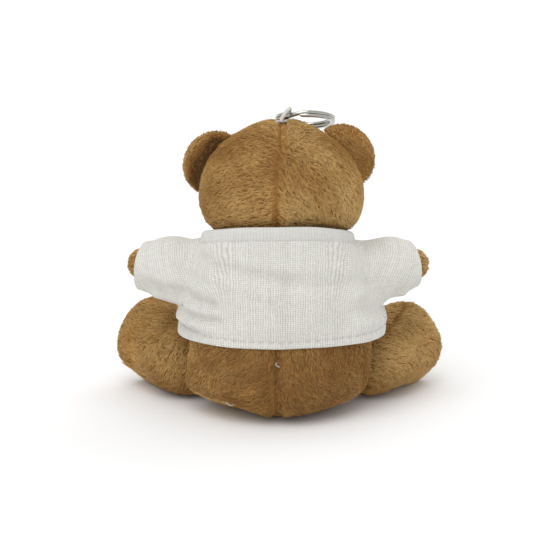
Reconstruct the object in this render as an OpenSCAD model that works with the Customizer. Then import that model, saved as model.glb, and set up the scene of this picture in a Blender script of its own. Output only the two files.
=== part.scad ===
// Plush teddy bear keychain in a knitted T-shirt, sitting. The bear faces -Y, its left side is +X,
// and it sits on z = 0. Plush panels are drawn at the depth that a light press reaches, so the
// pile stands about 1.4 mm proud of them.

/* [Plush] */
// Thickness of the plush fabric's backing and pressed pile
plush_t = 1.2; // [0.8:0.1:1.6]
// Gap along each half of a sewn seam, in degrees round the body
seam_gap = 0.12; // [0.05:0.01:0.3]
// Gap between a panel and the stuffing under it
fill_gap = 0.1; // [0.05:0.05:0.3]

/* [Head] */
// Half width of the head
head_w = 26; // [24:0.5:28]
// Depth of the head behind its middle
head_back = 21; // [19:0.5:23]
// Depth of the face in front of the head's middle
head_front = 18.8; // [17:0.1:20]
// Height of the crown above the head's middle
head_up = 24; // [22:0.5:25]
// Height of the head's middle above the seat
head_z = 73.4; // [72:0.1:75]
// Height of the seam between head and body
neck_z = 58.3; // [57:0.1:59]

/* [Ears] */
// Half length of an ear along its root
ear_half = 10.6; // [8:0.1:12]
// How far an ear stands out of the head
ear_out = 10; // [8:0.1:12]
// Thickness of one ear layer
ear_t = 1.3; // [1:0.1:1.6]

/* [Torso] */
// Half width of the torso at the hips
torso_w = 29; // [26:0.5:30]
// Depth of the torso behind its middle
torso_back = 25; // [23:0.5:27]
// Depth of the belly in front of the torso's middle
torso_front_d = 20; // [19:0.5:21]

/* [Arms] */
// Radius of an arm
arm_r = 7.4; // [6.5:0.1:7.8]
// Length of an arm from the shoulder's middle to the paw's tip
arm_len = 20.8; // [19:0.1:22]
// How far an arm points forward, in degrees
arm_forward = 20; // [15:1:30]

/* [Legs] */
// Radius of a leg at the hip
leg_r = 11.5; // [10:0.1:12]
// Length of a leg from the hip's middle to where the foot would close
leg_len = 22.5; // [20:0.5:24]
// How far a leg points outward from straight ahead, in degrees
leg_splay = 38; // [36:1:44]

/* [T-shirt] */
// Thickness of the knitted fabric
knit_t = 0.8; // [0.6:0.1:1]
// Outer radius of a sleeve
sleeve_r = 10; // [9.5:0.1:10.5]
// Height of the neck band
collar_h = 2.8; // [2:0.1:3.5]

/* [Ring and cord] */
// Outer diameter of the split ring
ring_od = 20; // [20:0.5:21]
// Width of the ring's wire, across the ring
wire_w = 1.9; // [1.5:0.1:2]
// Thickness of one coil of the ring
coil_t = 1.1; // [0.9:0.05:1.15]
// Diameter of the cord
cord_d = 1.2; // [1:0.1:1.3]

/* [Hidden] */

$fn = 48;
plush_brown = [0.60, 0.44, 0.26];
plush_light = [0.72, 0.58, 0.39];
fill_white = [0.95, 0.95, 0.93];
knit_white = [0.88, 0.87, 0.85];
eye_black = [0.05, 0.04, 0.04];
nose_brown = [0.16, 0.09, 0.06];
steel = [0.75, 0.75, 0.76];

// Half of the gap between head and body, where the neck seam draws them together
neck_gap = 0.3;

// Head: an egg that is rounder behind than in front. It is cut level at the neck.
head_c = [0, 0, head_z];
head_down = 21.5;
head_size = [head_w, head_back, head_front, head_up, head_down, 1];
head_cut = -asin((head_z - neck_z - neck_gap) / head_down);
// The face panel meets the back panels this many degrees in front of the head's widest line
face_turn = 15;

// Torso: a pear that is cut level at the neck and at the seat
torso_c = [0, 0, 20];
torso_size = [torso_w, torso_back, torso_front_d, 46, 26, 1.4];
torso_top = asin((neck_z - neck_gap - torso_c[2]) / torso_size[3]);
torso_bottom = -asin((torso_c[2] - plush_t) / torso_size[4]);

// T-shirt: half width, depth behind, depth in front, height of the middle, and rise towards the back
hem_line = [34, 27.5, 25, 26.2, 0.8];
chest_line = [33.5, 29.5, 27, 45, 1];
neck_line = [25.8, 24.2, 21, 57.5, 8];
// The neck band is a folded rib, thicker than the knit, and it leans in as it rises
rib_t = knit_t + 0.3;
collar_lean = 0.15;
// Where the armhole starts and where it is fully open, from hem (0) to neckline (1)
armhole = [0.26, 0.4];
// Half of the panel's turn below and beside the armhole
panel_turn = [89.6, 60];

shoulder = [30.6, -1, 48.2];
arm_tip_fullness = 0.62;
sleeve_start = 0.5;
sleeve_end = 16;

ground_gap = 0.05;
hip = [33.4, -17, leg_r + ground_gap];
foot_w = 13.4;
foot_h = 17.2;
foot_end = 65;
foot_fullness = 0.35;
toe_lift = 1.5;

muzzle_z = 65.5;
muzzle_w = 10.5;
muzzle_h = 7.6;
muzzle_out = 8.5;
// Gap between parts that are sewn onto each other
touch = 0.05;

nose_z = muzzle_z + 2.6;
nose_w = 3.7;
nose_h = 2.5;
nose_out = 1.65;
nose_edge = 0.15;
nose_taper = 0.12;
mouth_d = 0.7;
mouth_w = 3.75;
mouth_drop = 1.3;

eye_x = 9.6;
eye_z = 76.5;
eye_r = 2.4;
// The eye's dome is a ball whose middle is sunk by this much
eye_sunk = 0.4;
stem_r = 0.8;
stem_l = 4;
washer_r = 2.8;
washer_t = 0.8;
washer_depth = 3.2;

ear_c = [22, -3.6, 83.4];
ear_lift = 28.8;

cord_root = [0.6, 2.2, head_z + head_up];
knot_r = 1.7;
knot_depth = 3.6;

// The ring lies on the crown, tipped forward, with one side on the bear's right ear
ring_c = [-8.2, -9, 96.9];
ring_tip = 25;
coil_edge = 0.3;

// The cord leaves the crown seam, passes under the ring's near side, turns back inside the ring
// and returns over the wire to the seam
cord_route = [
    [1.3, 2.2, 98.6], [0.3, 1.2, 98.4], [-1.1, -0.1, 98.2], [-2.7, -1.5, 98.1],
    [-4.3, -3.1, 97.7], [-5.7, -4.9, 97.1], [-6.9, -6.8, 96.3], [-7.6, -8.8, 95.4],
    [-7.3, -10.7, 94.6], [-5.9, -12, 94.2], [-4, -12.1, 94.4], [-2.6, -10.9, 95.4],
    [-2.2, -9.2, 96.9], [-2.4, -7.5, 98.5], [-2.8, -5.8, 100.1], [-3.1, -4.1, 101.4],
    [-3, -2.4, 102.1], [-2.3, -0.7, 101.9], [-1.3, 0.8, 101], [-0.5, 1.8, 99.8],
    [-0.1, 2.2, 98.6]];

function turn_steps(a, b, n) = [for (i = [0:n]) a + (b - a) * i / n];
function mix(a, b, k) = a + (b - a) * k;
function ease(k) = let (c = min(1, max(0, k))) c * c * (3 - 2 * c);
function unit(v) = v / norm(v);

// Point of an egg: u turns round it, v climbs from -90 at its foot to 90 at its crown
function egg(c, size, u, v, inset) =
    let (
        ring = pow(cos(v), v > 0 ? size[5] : 1),
        depth = sin(u) >= 0 ? size[1] : size[2],
        height = v > 0 ? size[3] : size[4])
    c + [
        (size[0] - inset) * ring * cos(u),
        (depth - inset) * ring * sin(u),
        (height - inset) * sin(v)];

// Point of a limb: side, along and up are counted from its root
function limb(root, across, axis, side, along, up) =
    root + across * side + axis * along + [0, 0, up];

arm_axis = [cos(arm_forward), -sin(arm_forward), 0];
arm_across = [sin(arm_forward), cos(arm_forward), 0];
function arm_point(u, v, inset) =
    let (
        r = (arm_r - inset) * pow(cos(v), v > 0 ? arm_tip_fullness : 1),
        along = v > 0 ? (arm_len - inset) * sin(v) : (arm_r - inset) * sin(v))
    limb(shoulder, arm_across, arm_axis, r * cos(u), along, r * sin(u));

leg_axis = [sin(leg_splay), -cos(leg_splay), 0];
leg_across = [cos(leg_splay), sin(leg_splay), 0];
// Half width and half height of a leg's section: a ball at the hip, growing to the foot
function leg_half(v, foot) =
    v > 0 ? mix(leg_r, foot, sin(v)) * pow(cos(v), foot_fullness) : leg_r * cos(v);
function leg_middle(v) = v > 0 ? leg_half(v, foot_h) + toe_lift * pow(sin(v), 6) - leg_r : 0;
function leg_point(u, v, inset) = limb(
    hip, leg_across, leg_axis,
    max(0, leg_half(v, foot_w) - inset * (v > 0 ? 1 : cos(v))) * cos(u),
    v > 0 ? leg_len * sin(v) : (leg_r - inset) * sin(v),
    leg_middle(v) + max(0, leg_half(v, foot_h) - inset * (v > 0 ? 1 : cos(v))) * sin(u));

// Panels and their stuffing share one grid, in degrees round and up each part, so that they lie
// parallel
grid = 15;
full_turn = [for (u = [0:grid:360 - grid]) u];
head_rows = turn_steps(head_cut, 90, 12);
torso_rows = turn_steps(torso_bottom, torso_top, 10);
arm_rows = concat(turn_steps(-90, 0, 5), [15, 30, 45, 60, 75, 90]);
leg_rows = concat(turn_steps(-90, 0, 6), [10, 20, 30, 40, 50, 58, foot_end]);
patch_rows = turn_steps(0, 90, 6);

// One round of the T-shirt, and the shirt between its hem and its neckline
function shirt_round(line, u, inset) = [
    (line[0] - inset) * cos(u),
    ((sin(u) >= 0 ? line[1] : line[2]) - inset) * sin(u),
    line[3] + line[4] * sin(u)];
function shirt_point(u, k, inset) =
    pow(1 - k, 2) * shirt_round(hem_line, u, inset)
    + 2 * k * (1 - k) * shirt_round(chest_line, u, inset)
    + k * k * shirt_round(neck_line, u, inset);
function shirt_turn(k) =
    mix(panel_turn[0], panel_turn[1], ease((k - armhole[0]) / (armhole[1] - armhole[0])));

// Depth of the face, of the muzzle on it and of the nose on the muzzle
function face_y(x, z) =
    let (height = z > head_z ? head_up : head_down)
    -head_front * sqrt(1 - pow(x / head_w, 2) - pow((z - head_z) / height, 2));
function muzzle_bulge(x, z) = sqrt(max(0, 1 - pow(x / muzzle_w, 2) - pow((z - muzzle_z) / muzzle_h, 2)));
function muzzle_y(x, z) = face_y(x, z) - touch - muzzle_out * muzzle_bulge(x, z);
function face_normal(x, z) =
    unit([x / pow(head_w, 2), face_y(x, z) / pow(head_front, 2), (z - head_z) / pow(head_up, 2)]);
// Oval patch round [0, z]: u turns round it and v climbs from its rim to its middle
function patch(w, h, z, u, v) = [w * cos(v) * cos(u), z + h * cos(v) * sin(u)];

// A skin between two surfaces over a grid of u and v, closed all round its rim. A row whose points
// fall together is a pole.
module skin(outer, inner, us, vs, ring = false) {
    nu = len(us);
    nv = len(vs);
    pole = [for (v = vs) norm(outer(us[0], v) - outer(us[1], v)) < 0.001];
    at = function (layer, i, j) layer * nu * nv + i * nu + (pole[i] ? 0 : j % nu);
    last = ring ? nu - 1 : nu - 2;
    quads = concat(
        [for (i = [0:nv - 2], j = [0:last])
            [at(0, i, j), at(0, i + 1, j), at(0, i + 1, j + 1), at(0, i, j + 1)]],
        [for (i = [0:nv - 2], j = [0:last])
            [at(1, i, j), at(1, i, j + 1), at(1, i + 1, j + 1), at(1, i + 1, j)]],
        pole[0] ? [] : [for (j = [0:last]) [at(0, 0, j), at(0, 0, j + 1), at(1, 0, j + 1), at(1, 0, j)]],
        pole[nv - 1] ? [] : [for (j = [0:last])
            [at(0, nv - 1, j), at(1, nv - 1, j), at(1, nv - 1, j + 1), at(0, nv - 1, j + 1)]],
        ring ? [] : [for (i = [0:nv - 2]) [at(0, i, 0), at(1, i, 0), at(1, i + 1, 0), at(0, i + 1, 0)]],
        ring ? [] : [for (i = [0:nv - 2])
            [at(0, i, nu - 1), at(0, i + 1, nu - 1), at(1, i + 1, nu - 1), at(1, i, nu - 1)]]);
    triangles = [for (q = quads, t = [[q[0], q[1], q[2]], [q[0], q[2], q[3]]])
        if (t[0] != t[1] && t[1] != t[2] && t[0] != t[2]) t];
    polyhedron(
        points = concat(
            [for (v = vs, u = us) outer(u, v)],
            [for (v = vs, u = us) inner(u, v)]),
        faces = triangles);
}

// A full closed lump over a grid of u and v. An end that isn't a pole is closed by a flat fan.
module lump(shape, us, vs) {
    nu = len(us);
    nv = len(vs);
    pole = [for (v = vs) norm(shape(us[0], v) - shape(us[1], v)) < 0.001];
    at = function (i, j) i * nu + (pole[i] ? 0 : j % nu);
    middle = function (v) [for (u = us) 1] * [for (u = us) shape(u, v)] / nu;
    quads = [for (i = [0:nv - 2], j = [0:nu - 1])
        [at(i, j), at(i + 1, j), at(i + 1, j + 1), at(i, j + 1)]];
    triangles = concat(
        [for (q = quads, t = [[q[0], q[1], q[2]], [q[0], q[2], q[3]]])
            if (t[0] != t[1] && t[1] != t[2] && t[0] != t[2]) t],
        pole[0] ? [] : [for (j = [0:nu - 1]) [at(0, j), at(0, j + 1), nu * nv]],
        pole[nv - 1] ? [] : [for (j = [0:nu - 1]) [at(nv - 1, j + 1), at(nv - 1, j), nu * nv + 1]]);
    polyhedron(
        points = concat([for (v = vs, u = us) shape(u, v)], [middle(vs[0]), middle(vs[nv - 1])]),
        faces = triangles);
}

// A round thread or cord along a route. "off" is a direction that the route never follows.
module thread(route, d, off, sides = 8) {
    n = len(route);
    heading = [for (i = [0:n - 1]) unit(route[min(n - 1, i + 1)] - route[max(0, i - 1)])];
    a = [for (h = heading) unit(cross(h, off))];
    b = [for (i = [0:n - 1]) cross(heading[i], a[i])];
    at = function (i, j) i * sides + j % sides;
    polyhedron(
        points = [for (i = [0:n - 1], j = [0:sides - 1])
            route[i] + (a[i] * cos(j * 360 / sides) + b[i] * sin(j * 360 / sides)) * d / 2],
        faces = concat(
            [for (i = [0:n - 2], j = [0:sides - 1]) [at(i, j), at(i + 1, j), at(i + 1, j + 1)]],
            [for (i = [0:n - 2], j = [0:sides - 1]) [at(i, j), at(i + 1, j + 1), at(i, j + 1)]],
            [[for (j = [0:sides - 1]) at(0, j)]],
            [[for (j = [sides - 1:-1:0]) at(n - 1, j)]]));
}

module torso_panel(from, to) {
    color(plush_brown)
    skin(
        function (u, v) egg(torso_c, torso_size, u, v, 0),
        function (u, v) egg(torso_c, torso_size, u, v, plush_t),
        turn_steps(from + seam_gap, to - seam_gap, (to - from) / grid),
        torso_rows);
}
module torso_back_left() torso_panel(0, 90);
module torso_back_right() torso_panel(90, 180);
module torso_front() torso_panel(180, 360);

module seat_panel() {
    color(plush_brown)
    linear_extrude(height = plush_t - touch)
    polygon([for (u = [0:7.5:352.5])
        let (p = egg(torso_c, torso_size, u, torso_bottom, 0)) [p[0], p[1]]]);
}

module torso_stuffing() {
    color(fill_white)
    lump(
        function (u, v) egg(torso_c, torso_size, u, v, plush_t + fill_gap),
        full_turn, torso_rows);
}

// Back panel when middle is 90, front panel when it is 270
module shirt_panel(middle) {
    color(knit_white)
    skin(
        function (w, k) shirt_point(middle + w * shirt_turn(k), k, 0),
        function (w, k) shirt_point(middle + w * shirt_turn(k), k, knit_t),
        turn_steps(-1, 1, 14), turn_steps(0, 1, 12));
}
module shirt_back() shirt_panel(90);
module shirt_front() shirt_panel(270);

module shirt_collar() {
    color(knit_white)
    skin(
        function (u, h) shirt_round(neck_line, u, h * collar_lean) + [0, 0, touch + h],
        function (u, h) shirt_round(neck_line, u, h * collar_lean + rib_t) + [0, 0, touch + h],
        [for (i = [0:35]) i * 10],
        [0, collar_h / 2, collar_h],
        ring = true);
}

module head_panel(from, to) {
    color(plush_brown)
    skin(
        function (u, v) egg(head_c, head_size, u, v, 0),
        function (u, v) egg(head_c, head_size, u, v, plush_t),
        turn_steps(from + seam_gap, to - seam_gap, (to - from) / grid),
        head_rows);
}
module head_back_left() head_panel(-face_turn, 90);
module head_back_right() head_panel(90, 180 + face_turn);
module head_face() head_panel(180 + face_turn, 360 - face_turn);

module head_stuffing() {
    color(fill_white)
    lump(
        function (u, v) egg(head_c, head_size, u, v, plush_t + fill_gap),
        full_turn, head_rows);
}

module muzzle_cover() {
    color(plush_light)
    skin(
        function (u, v)
            let (p = patch(muzzle_w, muzzle_h, muzzle_z, u, v))
            [p[0], muzzle_y(p[0], p[1]), p[1]],
        function (u, v)
            let (p = patch(muzzle_w - plush_t, muzzle_h - plush_t, muzzle_z, u, v))
            [p[0], face_y(p[0], p[1]) - touch - (muzzle_out - plush_t) * sin(v), p[1]],
        full_turn, patch_rows, ring = true);
}

module muzzle_stuffing() {
    inset = plush_t + fill_gap;
    color(fill_white)
    skin(
        function (u, v)
            let (p = patch(muzzle_w - inset, muzzle_h - inset, muzzle_z, u, v))
            [p[0], face_y(p[0], p[1]) - 4 * touch - (muzzle_out - inset - touch) * sin(v), p[1]],
        function (u, v)
            let (p = patch(muzzle_w - inset, muzzle_h - inset, muzzle_z, u, v))
            [p[0], face_y(p[0], p[1]) - 2 * touch, p[1]],
        full_turn, patch_rows, ring = true);
}

// The nose narrows downwards, like a rounded triangle
module nose() {
    rim = function (u, v)
        let (p = patch(nose_w, nose_h, nose_z, u, v))
        [p[0] * (1 + nose_taper * (p[1] - nose_z)), p[1]];
    color(nose_brown)
    skin(
        function (u, v)
            let (p = rim(u, v))
            [p[0], muzzle_y(p[0], p[1]) - touch - nose_edge - (nose_out - nose_edge) * sin(v), p[1]],
        function (u, v) let (p = rim(u, v)) [p[0], muzzle_y(p[0], p[1]) - touch, p[1]],
        full_turn, turn_steps(0, 90, 4), ring = true);
}

// A straight stitch down from the nose, and a wavy one across below it
module mouth_stitch() {
    on = function (x, z) [x, muzzle_y(x, z) - mouth_d / 2 - touch, z];
    fork_z = muzzle_z - 2.2;
    wave = function (k) fork_z - mouth_drop * abs(sin(k * 180)) * (abs(k) + 0.5);
    color(nose_brown) {
        thread([for (k = [0:4]) on(0, mix(nose_z - 3, fork_z + mouth_d, k / 4))], mouth_d, [0, 1, 0]);
        thread([for (k = [-5:5]) on(mouth_w * k / 5, wave(k / 5))], mouth_d, [0, 1, 0]);
    }
}

// Puts something that points along +Z on the face, pointing out of it
module on_face(x, z) {
    n = face_normal(x, z);
    translate([x, face_y(x, z), z])
    rotate([0, acos(n[2]), atan2(n[1], n[0])])
    children();
}
module eye(side) {
    color(eye_black)
    on_face(side * eye_x, eye_z)
    union() {
        intersection() {
            translate([0, 0, -eye_sunk]) sphere(r = eye_r);
            cylinder(r = eye_r, h = eye_r);
        }
        translate([0, 0, -stem_l]) cylinder(r = stem_r, h = stem_l + 0.2);
    }
}
module eye_left() eye(1);
module eye_right() eye(-1);

module eye_washer(side) {
    color(fill_white)
    on_face(side * eye_x, eye_z)
    translate([0, 0, -washer_depth])
    difference() {
        cylinder(r = washer_r, h = washer_t);
        translate([0, 0, -washer_t]) cylinder(r = stem_r, h = 3 * washer_t);
    }
}
module eye_washer_left() eye_washer(1);
module eye_washer_right() eye_washer(-1);

// One layer of an ear: a little more than half an oval, with its root sewn into the face seam
module ear_layer(side, depth, shade) {
    color(shade)
    mirror([side < 0 ? 1 : 0, 0, 0])
    translate(ear_c)
    rotate([0, -ear_lift, 0])
    translate([0, depth, 0])
    rotate([90, 0, 0])
    linear_extrude(height = ear_t)
    polygon([for (t = [-100:10:100]) [ear_out * cos(t), ear_half * sin(t)]]);
}
module ear_back_left() ear_layer(1, ear_t, plush_brown);
module ear_front_left() ear_layer(1, -touch, plush_light);
module ear_back_right() ear_layer(-1, ear_t, plush_brown);
module ear_front_right() ear_layer(-1, -touch, plush_light);

// Knot and sewn end of the cord, inside the crown
module cord_knot() {
    color(knit_white)
    translate(cord_root) {
        translate([0, 0, -knot_depth]) sphere(r = knot_r, $fn = 24);
        translate([0, 0, -knot_depth + touch]) cylinder(r = cord_d * 0.6, h = knot_depth, $fn = 24);
    }
}

module both_sides(side) {
    mirror([side < 0 ? 1 : 0, 0, 0])
    children();
}
module arm_panel(side, from) {
    color(plush_brown)
    both_sides(side)
    skin(
        function (u, v) arm_point(u, v, 0),
        function (u, v) arm_point(u, v, plush_t),
        turn_steps(from + 0.4, from + 179.6, 9), arm_rows);
}
module arm_back_left() arm_panel(1, -90);
module arm_front_left() arm_panel(1, 90);
module arm_back_right() arm_panel(-1, -90);
module arm_front_right() arm_panel(-1, 90);

module arm_stuffing(side) {
    color(fill_white)
    both_sides(side)
    lump(function (u, v) arm_point(u, v, plush_t + fill_gap), [for (i = [0:15]) i * 22.5], arm_rows);
}
module arm_stuffing_left() arm_stuffing(1);
module arm_stuffing_right() arm_stuffing(-1);

module sleeve(side) {
    color(knit_white)
    both_sides(side)
    translate(shoulder)
    rotate([0, 90, -arm_forward])
    rotate_extrude()
    translate([sleeve_r - knit_t, sleeve_start])
    square([knit_t, sleeve_end - sleeve_start]);
}
module sleeve_left() sleeve(1);
module sleeve_right() sleeve(-1);

module leg_panel(side, from) {
    color(plush_brown)
    both_sides(side)
    skin(
        function (u, v) leg_point(u, v, 0),
        function (u, v) leg_point(u, v, plush_t),
        turn_steps(from + 0.3, from + 179.7, 11), leg_rows);
}
module leg_inner_left() leg_panel(1, 90);
module leg_outer_left() leg_panel(1, -90);
module leg_inner_right() leg_panel(-1, 90);
module leg_outer_right() leg_panel(-1, -90);

module leg_stuffing(side) {
    color(fill_white)
    both_sides(side)
    lump(function (u, v) leg_point(u, v, plush_t + fill_gap), [for (i = [0:19]) i * 18], leg_rows);
}
module leg_stuffing_left() leg_stuffing(1);
module leg_stuffing_right() leg_stuffing(-1);

module foot_sole(side) {
    w = leg_half(foot_end, foot_w);
    h = leg_half(foot_end, foot_h);
    color(plush_light)
    both_sides(side)
    translate(hip + leg_axis * (leg_len * sin(foot_end) + touch) + [0, 0, leg_middle(foot_end)])
    rotate([90, 0, leg_splay])
    linear_extrude(height = plush_t)
    polygon([for (u = [0:10:350]) [w * cos(u), h * sin(u)]]);
}
module foot_sole_left() foot_sole(1);
module foot_sole_right() foot_sole(-1);

module cord_loop() {
    color(knit_white)
    thread(cord_route, cord_d, [0.5, -0.3, 1]);
}

// Two flat coils with rounded edges, one on the other
module split_ring() {
    color(steel)
    translate(ring_c)
    rotate([ring_tip, 0, 0])
    rotate_extrude($fn = 96)
    translate([ring_od / 2 - wire_w, 0])
    for (turn = [-1, 1]) {
        z0 = turn < 0 ? -coil_t : 0;
        polygon([
            [coil_edge, z0], [wire_w - coil_edge, z0],
            [wire_w, z0 + coil_edge], [wire_w, z0 + coil_t - coil_edge],
            [wire_w - coil_edge, z0 + coil_t], [coil_edge, z0 + coil_t],
            [0, z0 + coil_t - coil_edge], [0, z0 + coil_edge]]);
    }
}

torso_back_left();
torso_back_right();
torso_front();
seat_panel();
torso_stuffing();
shirt_back();
shirt_front();
shirt_collar();
head_back_left();
head_back_right();
head_face();
head_stuffing();
muzzle_cover();
muzzle_stuffing();
nose();
mouth_stitch();
eye_left();
eye_right();
eye_washer_left();
eye_washer_right();
ear_back_left();
ear_front_left();
ear_back_right();
ear_front_right();
cord_knot();
arm_back_left();
arm_front_left();
arm_stuffing_left();
sleeve_left();
arm_back_right();
arm_front_right();
arm_stuffing_right();
sleeve_right();
leg_inner_left();
leg_outer_left();
foot_sole_left();
leg_stuffing_left();
leg_inner_right();
leg_outer_right();
foot_sole_right();
leg_stuffing_right();
cord_loop();
split_ring();
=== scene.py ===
import math

import bmesh
import bpy
import numpy as np
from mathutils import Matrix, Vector


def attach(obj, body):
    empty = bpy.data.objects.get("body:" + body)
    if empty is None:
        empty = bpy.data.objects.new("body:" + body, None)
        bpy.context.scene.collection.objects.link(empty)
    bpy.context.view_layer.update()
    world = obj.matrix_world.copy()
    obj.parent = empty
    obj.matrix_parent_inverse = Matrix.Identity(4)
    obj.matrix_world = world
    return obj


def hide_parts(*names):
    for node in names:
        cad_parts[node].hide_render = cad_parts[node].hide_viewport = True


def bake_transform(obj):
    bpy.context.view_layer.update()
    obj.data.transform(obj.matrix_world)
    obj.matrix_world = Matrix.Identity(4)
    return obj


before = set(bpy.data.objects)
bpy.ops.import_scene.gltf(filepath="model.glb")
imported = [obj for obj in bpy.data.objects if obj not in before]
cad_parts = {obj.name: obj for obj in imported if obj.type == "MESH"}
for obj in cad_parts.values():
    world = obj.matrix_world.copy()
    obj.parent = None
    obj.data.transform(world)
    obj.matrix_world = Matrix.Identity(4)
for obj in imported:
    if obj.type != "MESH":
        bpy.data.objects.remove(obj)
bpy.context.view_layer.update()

scene = bpy.context.scene
MM = 0.001
SIDE_NAMES = {1: "left", -1: "right"}
TURN = 2 * math.pi


# ---------------- the bear's measures, in millimetres
HEAD_C = np.array([0, 0, 73.4])
# Half widths and depths, heights over and under the middle, and how full the two halves are
HEAD = dict(w=26, back=21, front=18.8, up=24, down=21.5, power=1, low=1)
NECK_Z, NECK_GAP = 58.3, 0.3
FACE_TURN = 15
TORSO_C = np.array([0, 0, 20.0])
TORSO = dict(w=29, back=25, front=20, up=46, down=19.7, power=0.8, low=0.68)
PLUSH_T = 1.2
ARM_R, ARM_LEN, ARM_FORWARD, ARM_FULL = 7.4, 20.8, 20, 0.62
SHOULDER = np.array([30.6, -1, 48.2])
LEG_R, LEG_LEN, LEG_SPLAY = 11.5, 22.5, 38
HIP = np.array([33.4, -17, 11.55])
FOOT_W, FOOT_H, FOOT_END, FOOT_FULL, TOE_LIFT = 13.4, 17.2, 65, 0.35, 1.5
# The shirt's rounds: middle, half width, depth behind and in front, height, and rise towards the back
HEM = dict(x=0, w=34, back=27.5, front=25, z=26.6, rise=1.6)
CHEST = dict(x=0, w=33.5, back=29.5, front=27, z=45, rise=1)
NECK = dict(x=0.9, w=25.0, back=24.2, front=21, z=57.5, rise=8)
HEM_LINE_Z = 30.4
KNIT_T = 0.8
EAR_C = np.array([22, -3.6, 83.4])
EAR_OUT, EAR_HALF, EAR_T, EAR_LIFT = 9.9, 11.0, 1.3, 28.8
MUZZLE_Z, MUZZLE_W, MUZZLE_H, MUZZLE_OUT = 65.5, 10.5, 7.6, 8.5
NOSE_Z, NOSE_W, NOSE_H = 68.1, 3.9, 2.5
EYE_X, EYE_Z = 9.6, 76.5
FACE_Y = -8
BAND_Z, BAND_RISE = 60.2, 7.5
HEAD_SEAM_X, TORSO_SEAM_X = 1.3, 1.2
RING_C, RING_TIP, RING_OD, WIRE_W, COIL_T = np.array([-8.2, -9, 96.9]), 25, 20, 1.9, 1.1
CORD_D = 1.2
CORD_ROUTE = np.array([
    [1.3, 2.2, 98.6], [0.3, 1.2, 98.4], [-1.1, -0.1, 98.2], [-2.7, -1.5, 98.1],
    [-4.3, -3.1, 97.7], [-5.7, -4.9, 97.1], [-6.9, -6.8, 96.3], [-7.6, -8.8, 95.4],
    [-7.3, -10.7, 94.6], [-5.9, -12, 94.2], [-4, -12.1, 94.4], [-2.6, -10.9, 95.4],
    [-2.2, -9.2, 96.9], [-2.4, -7.5, 98.5], [-2.8, -5.8, 100.1], [-3.1, -4.1, 101.4],
    [-3, -2.4, 102.1], [-2.3, -0.7, 101.9], [-1.3, 0.8, 101], [-0.5, 1.8, 99.8],
    [-0.1, 2.2, 98.6]])


# ---------------- camera
VIEW_UP = math.radians(15)
LENS, SENSOR = 200, 36
FRAME_WIDE = 0.1833
AIM = Vector((0.0018, 0, 0.0460))
back = Vector((0, math.cos(VIEW_UP), math.sin(VIEW_UP)))
camera = bpy.data.objects.new("camera", bpy.data.cameras.new("camera"))
camera.data.lens, camera.data.sensor_width = LENS, SENSOR
camera.location = AIM + back * (FRAME_WIDE * LENS / SENSOR)
camera.rotation_euler = (-back).to_track_quat("-Z", "Y").to_euler()
camera.data.clip_start, camera.data.clip_end = 0.01, 20
scene.collection.objects.link(camera)
scene.camera = camera


# ---------------- small tools
def unit(v):
    return v / np.maximum(np.linalg.norm(v, axis=-1, keepdims=True), 1e-9)


def mix(a, b, k):
    return a + (b - a) * k


def ease(k):
    k = np.clip(k, 0, 1)
    return k * k * (3 - 2 * k)


def sind(a):
    return np.sin(np.radians(a))


def cosd(a):
    return np.cos(np.radians(a))


def waves(points, size, seed, terms=10):
    """Smooth noise, mostly from -1 to 1, with swells about size across."""
    rng = np.random.default_rng(seed)
    k = unit(rng.normal(size=(terms, 3))) * rng.uniform(0.6, 1.5, (terms, 1)) * TURN / (2 * size)
    phase = rng.uniform(0, TURN, terms)
    return np.sin(points @ k.T + phase).sum(-1) * (1.1 / math.sqrt(terms))


def on_side(side, v):
    """Points or ways on one side of the bear, 1 or -1, from those on its left."""
    return v * np.array([side, 1, 1])


def wall_faces(rows, cols, round_rows=False):
    """Quads of a grid whose columns go round, and whose rows do too if round_rows is set."""
    i, j = np.meshgrid(np.arange(rows if round_rows else rows - 1), np.arange(cols), indexing="ij")
    a, b = (i + 1) % rows, (j + 1) % cols
    return np.stack([i * cols + j, i * cols + b, a * cols + b, a * cols + j], -1).reshape(-1, 4)


def closed_tube(rings, ends=None):
    """Points and faces of a closed solid from rings of points, with a fan of triangles at each end."""
    rows, cols = rings.shape[:2]
    if ends is None:
        ends = [rings[0].mean(0), rings[-1].mean(0)]
    j = np.arange(cols)
    k = (j + 1) % cols
    fans = np.concatenate([np.stack([k, j, np.full(cols, rows * cols)], -1),
                           np.stack([j, k, np.full(cols, cols + 1)], -1) + (rows - 1) * cols])
    return np.concatenate([rings.reshape(-1, 3), ends]), [wall_faces(rows, cols), fans]


def merged(parts):
    """Points and faces of several parts, each its points and its quads and triangles, as one."""
    starts = np.cumsum([0] + [len(points) for points, _ in parts[:-1]])
    faces = [np.concatenate([group + start for group, start in zip(alike, starts)])
             for alike in zip(*(groups for _, groups in parts))]
    return np.concatenate([points for points, _ in parts]), faces


def turned_over(faces):
    return [group[:, ::-1] for group in faces]


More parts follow.
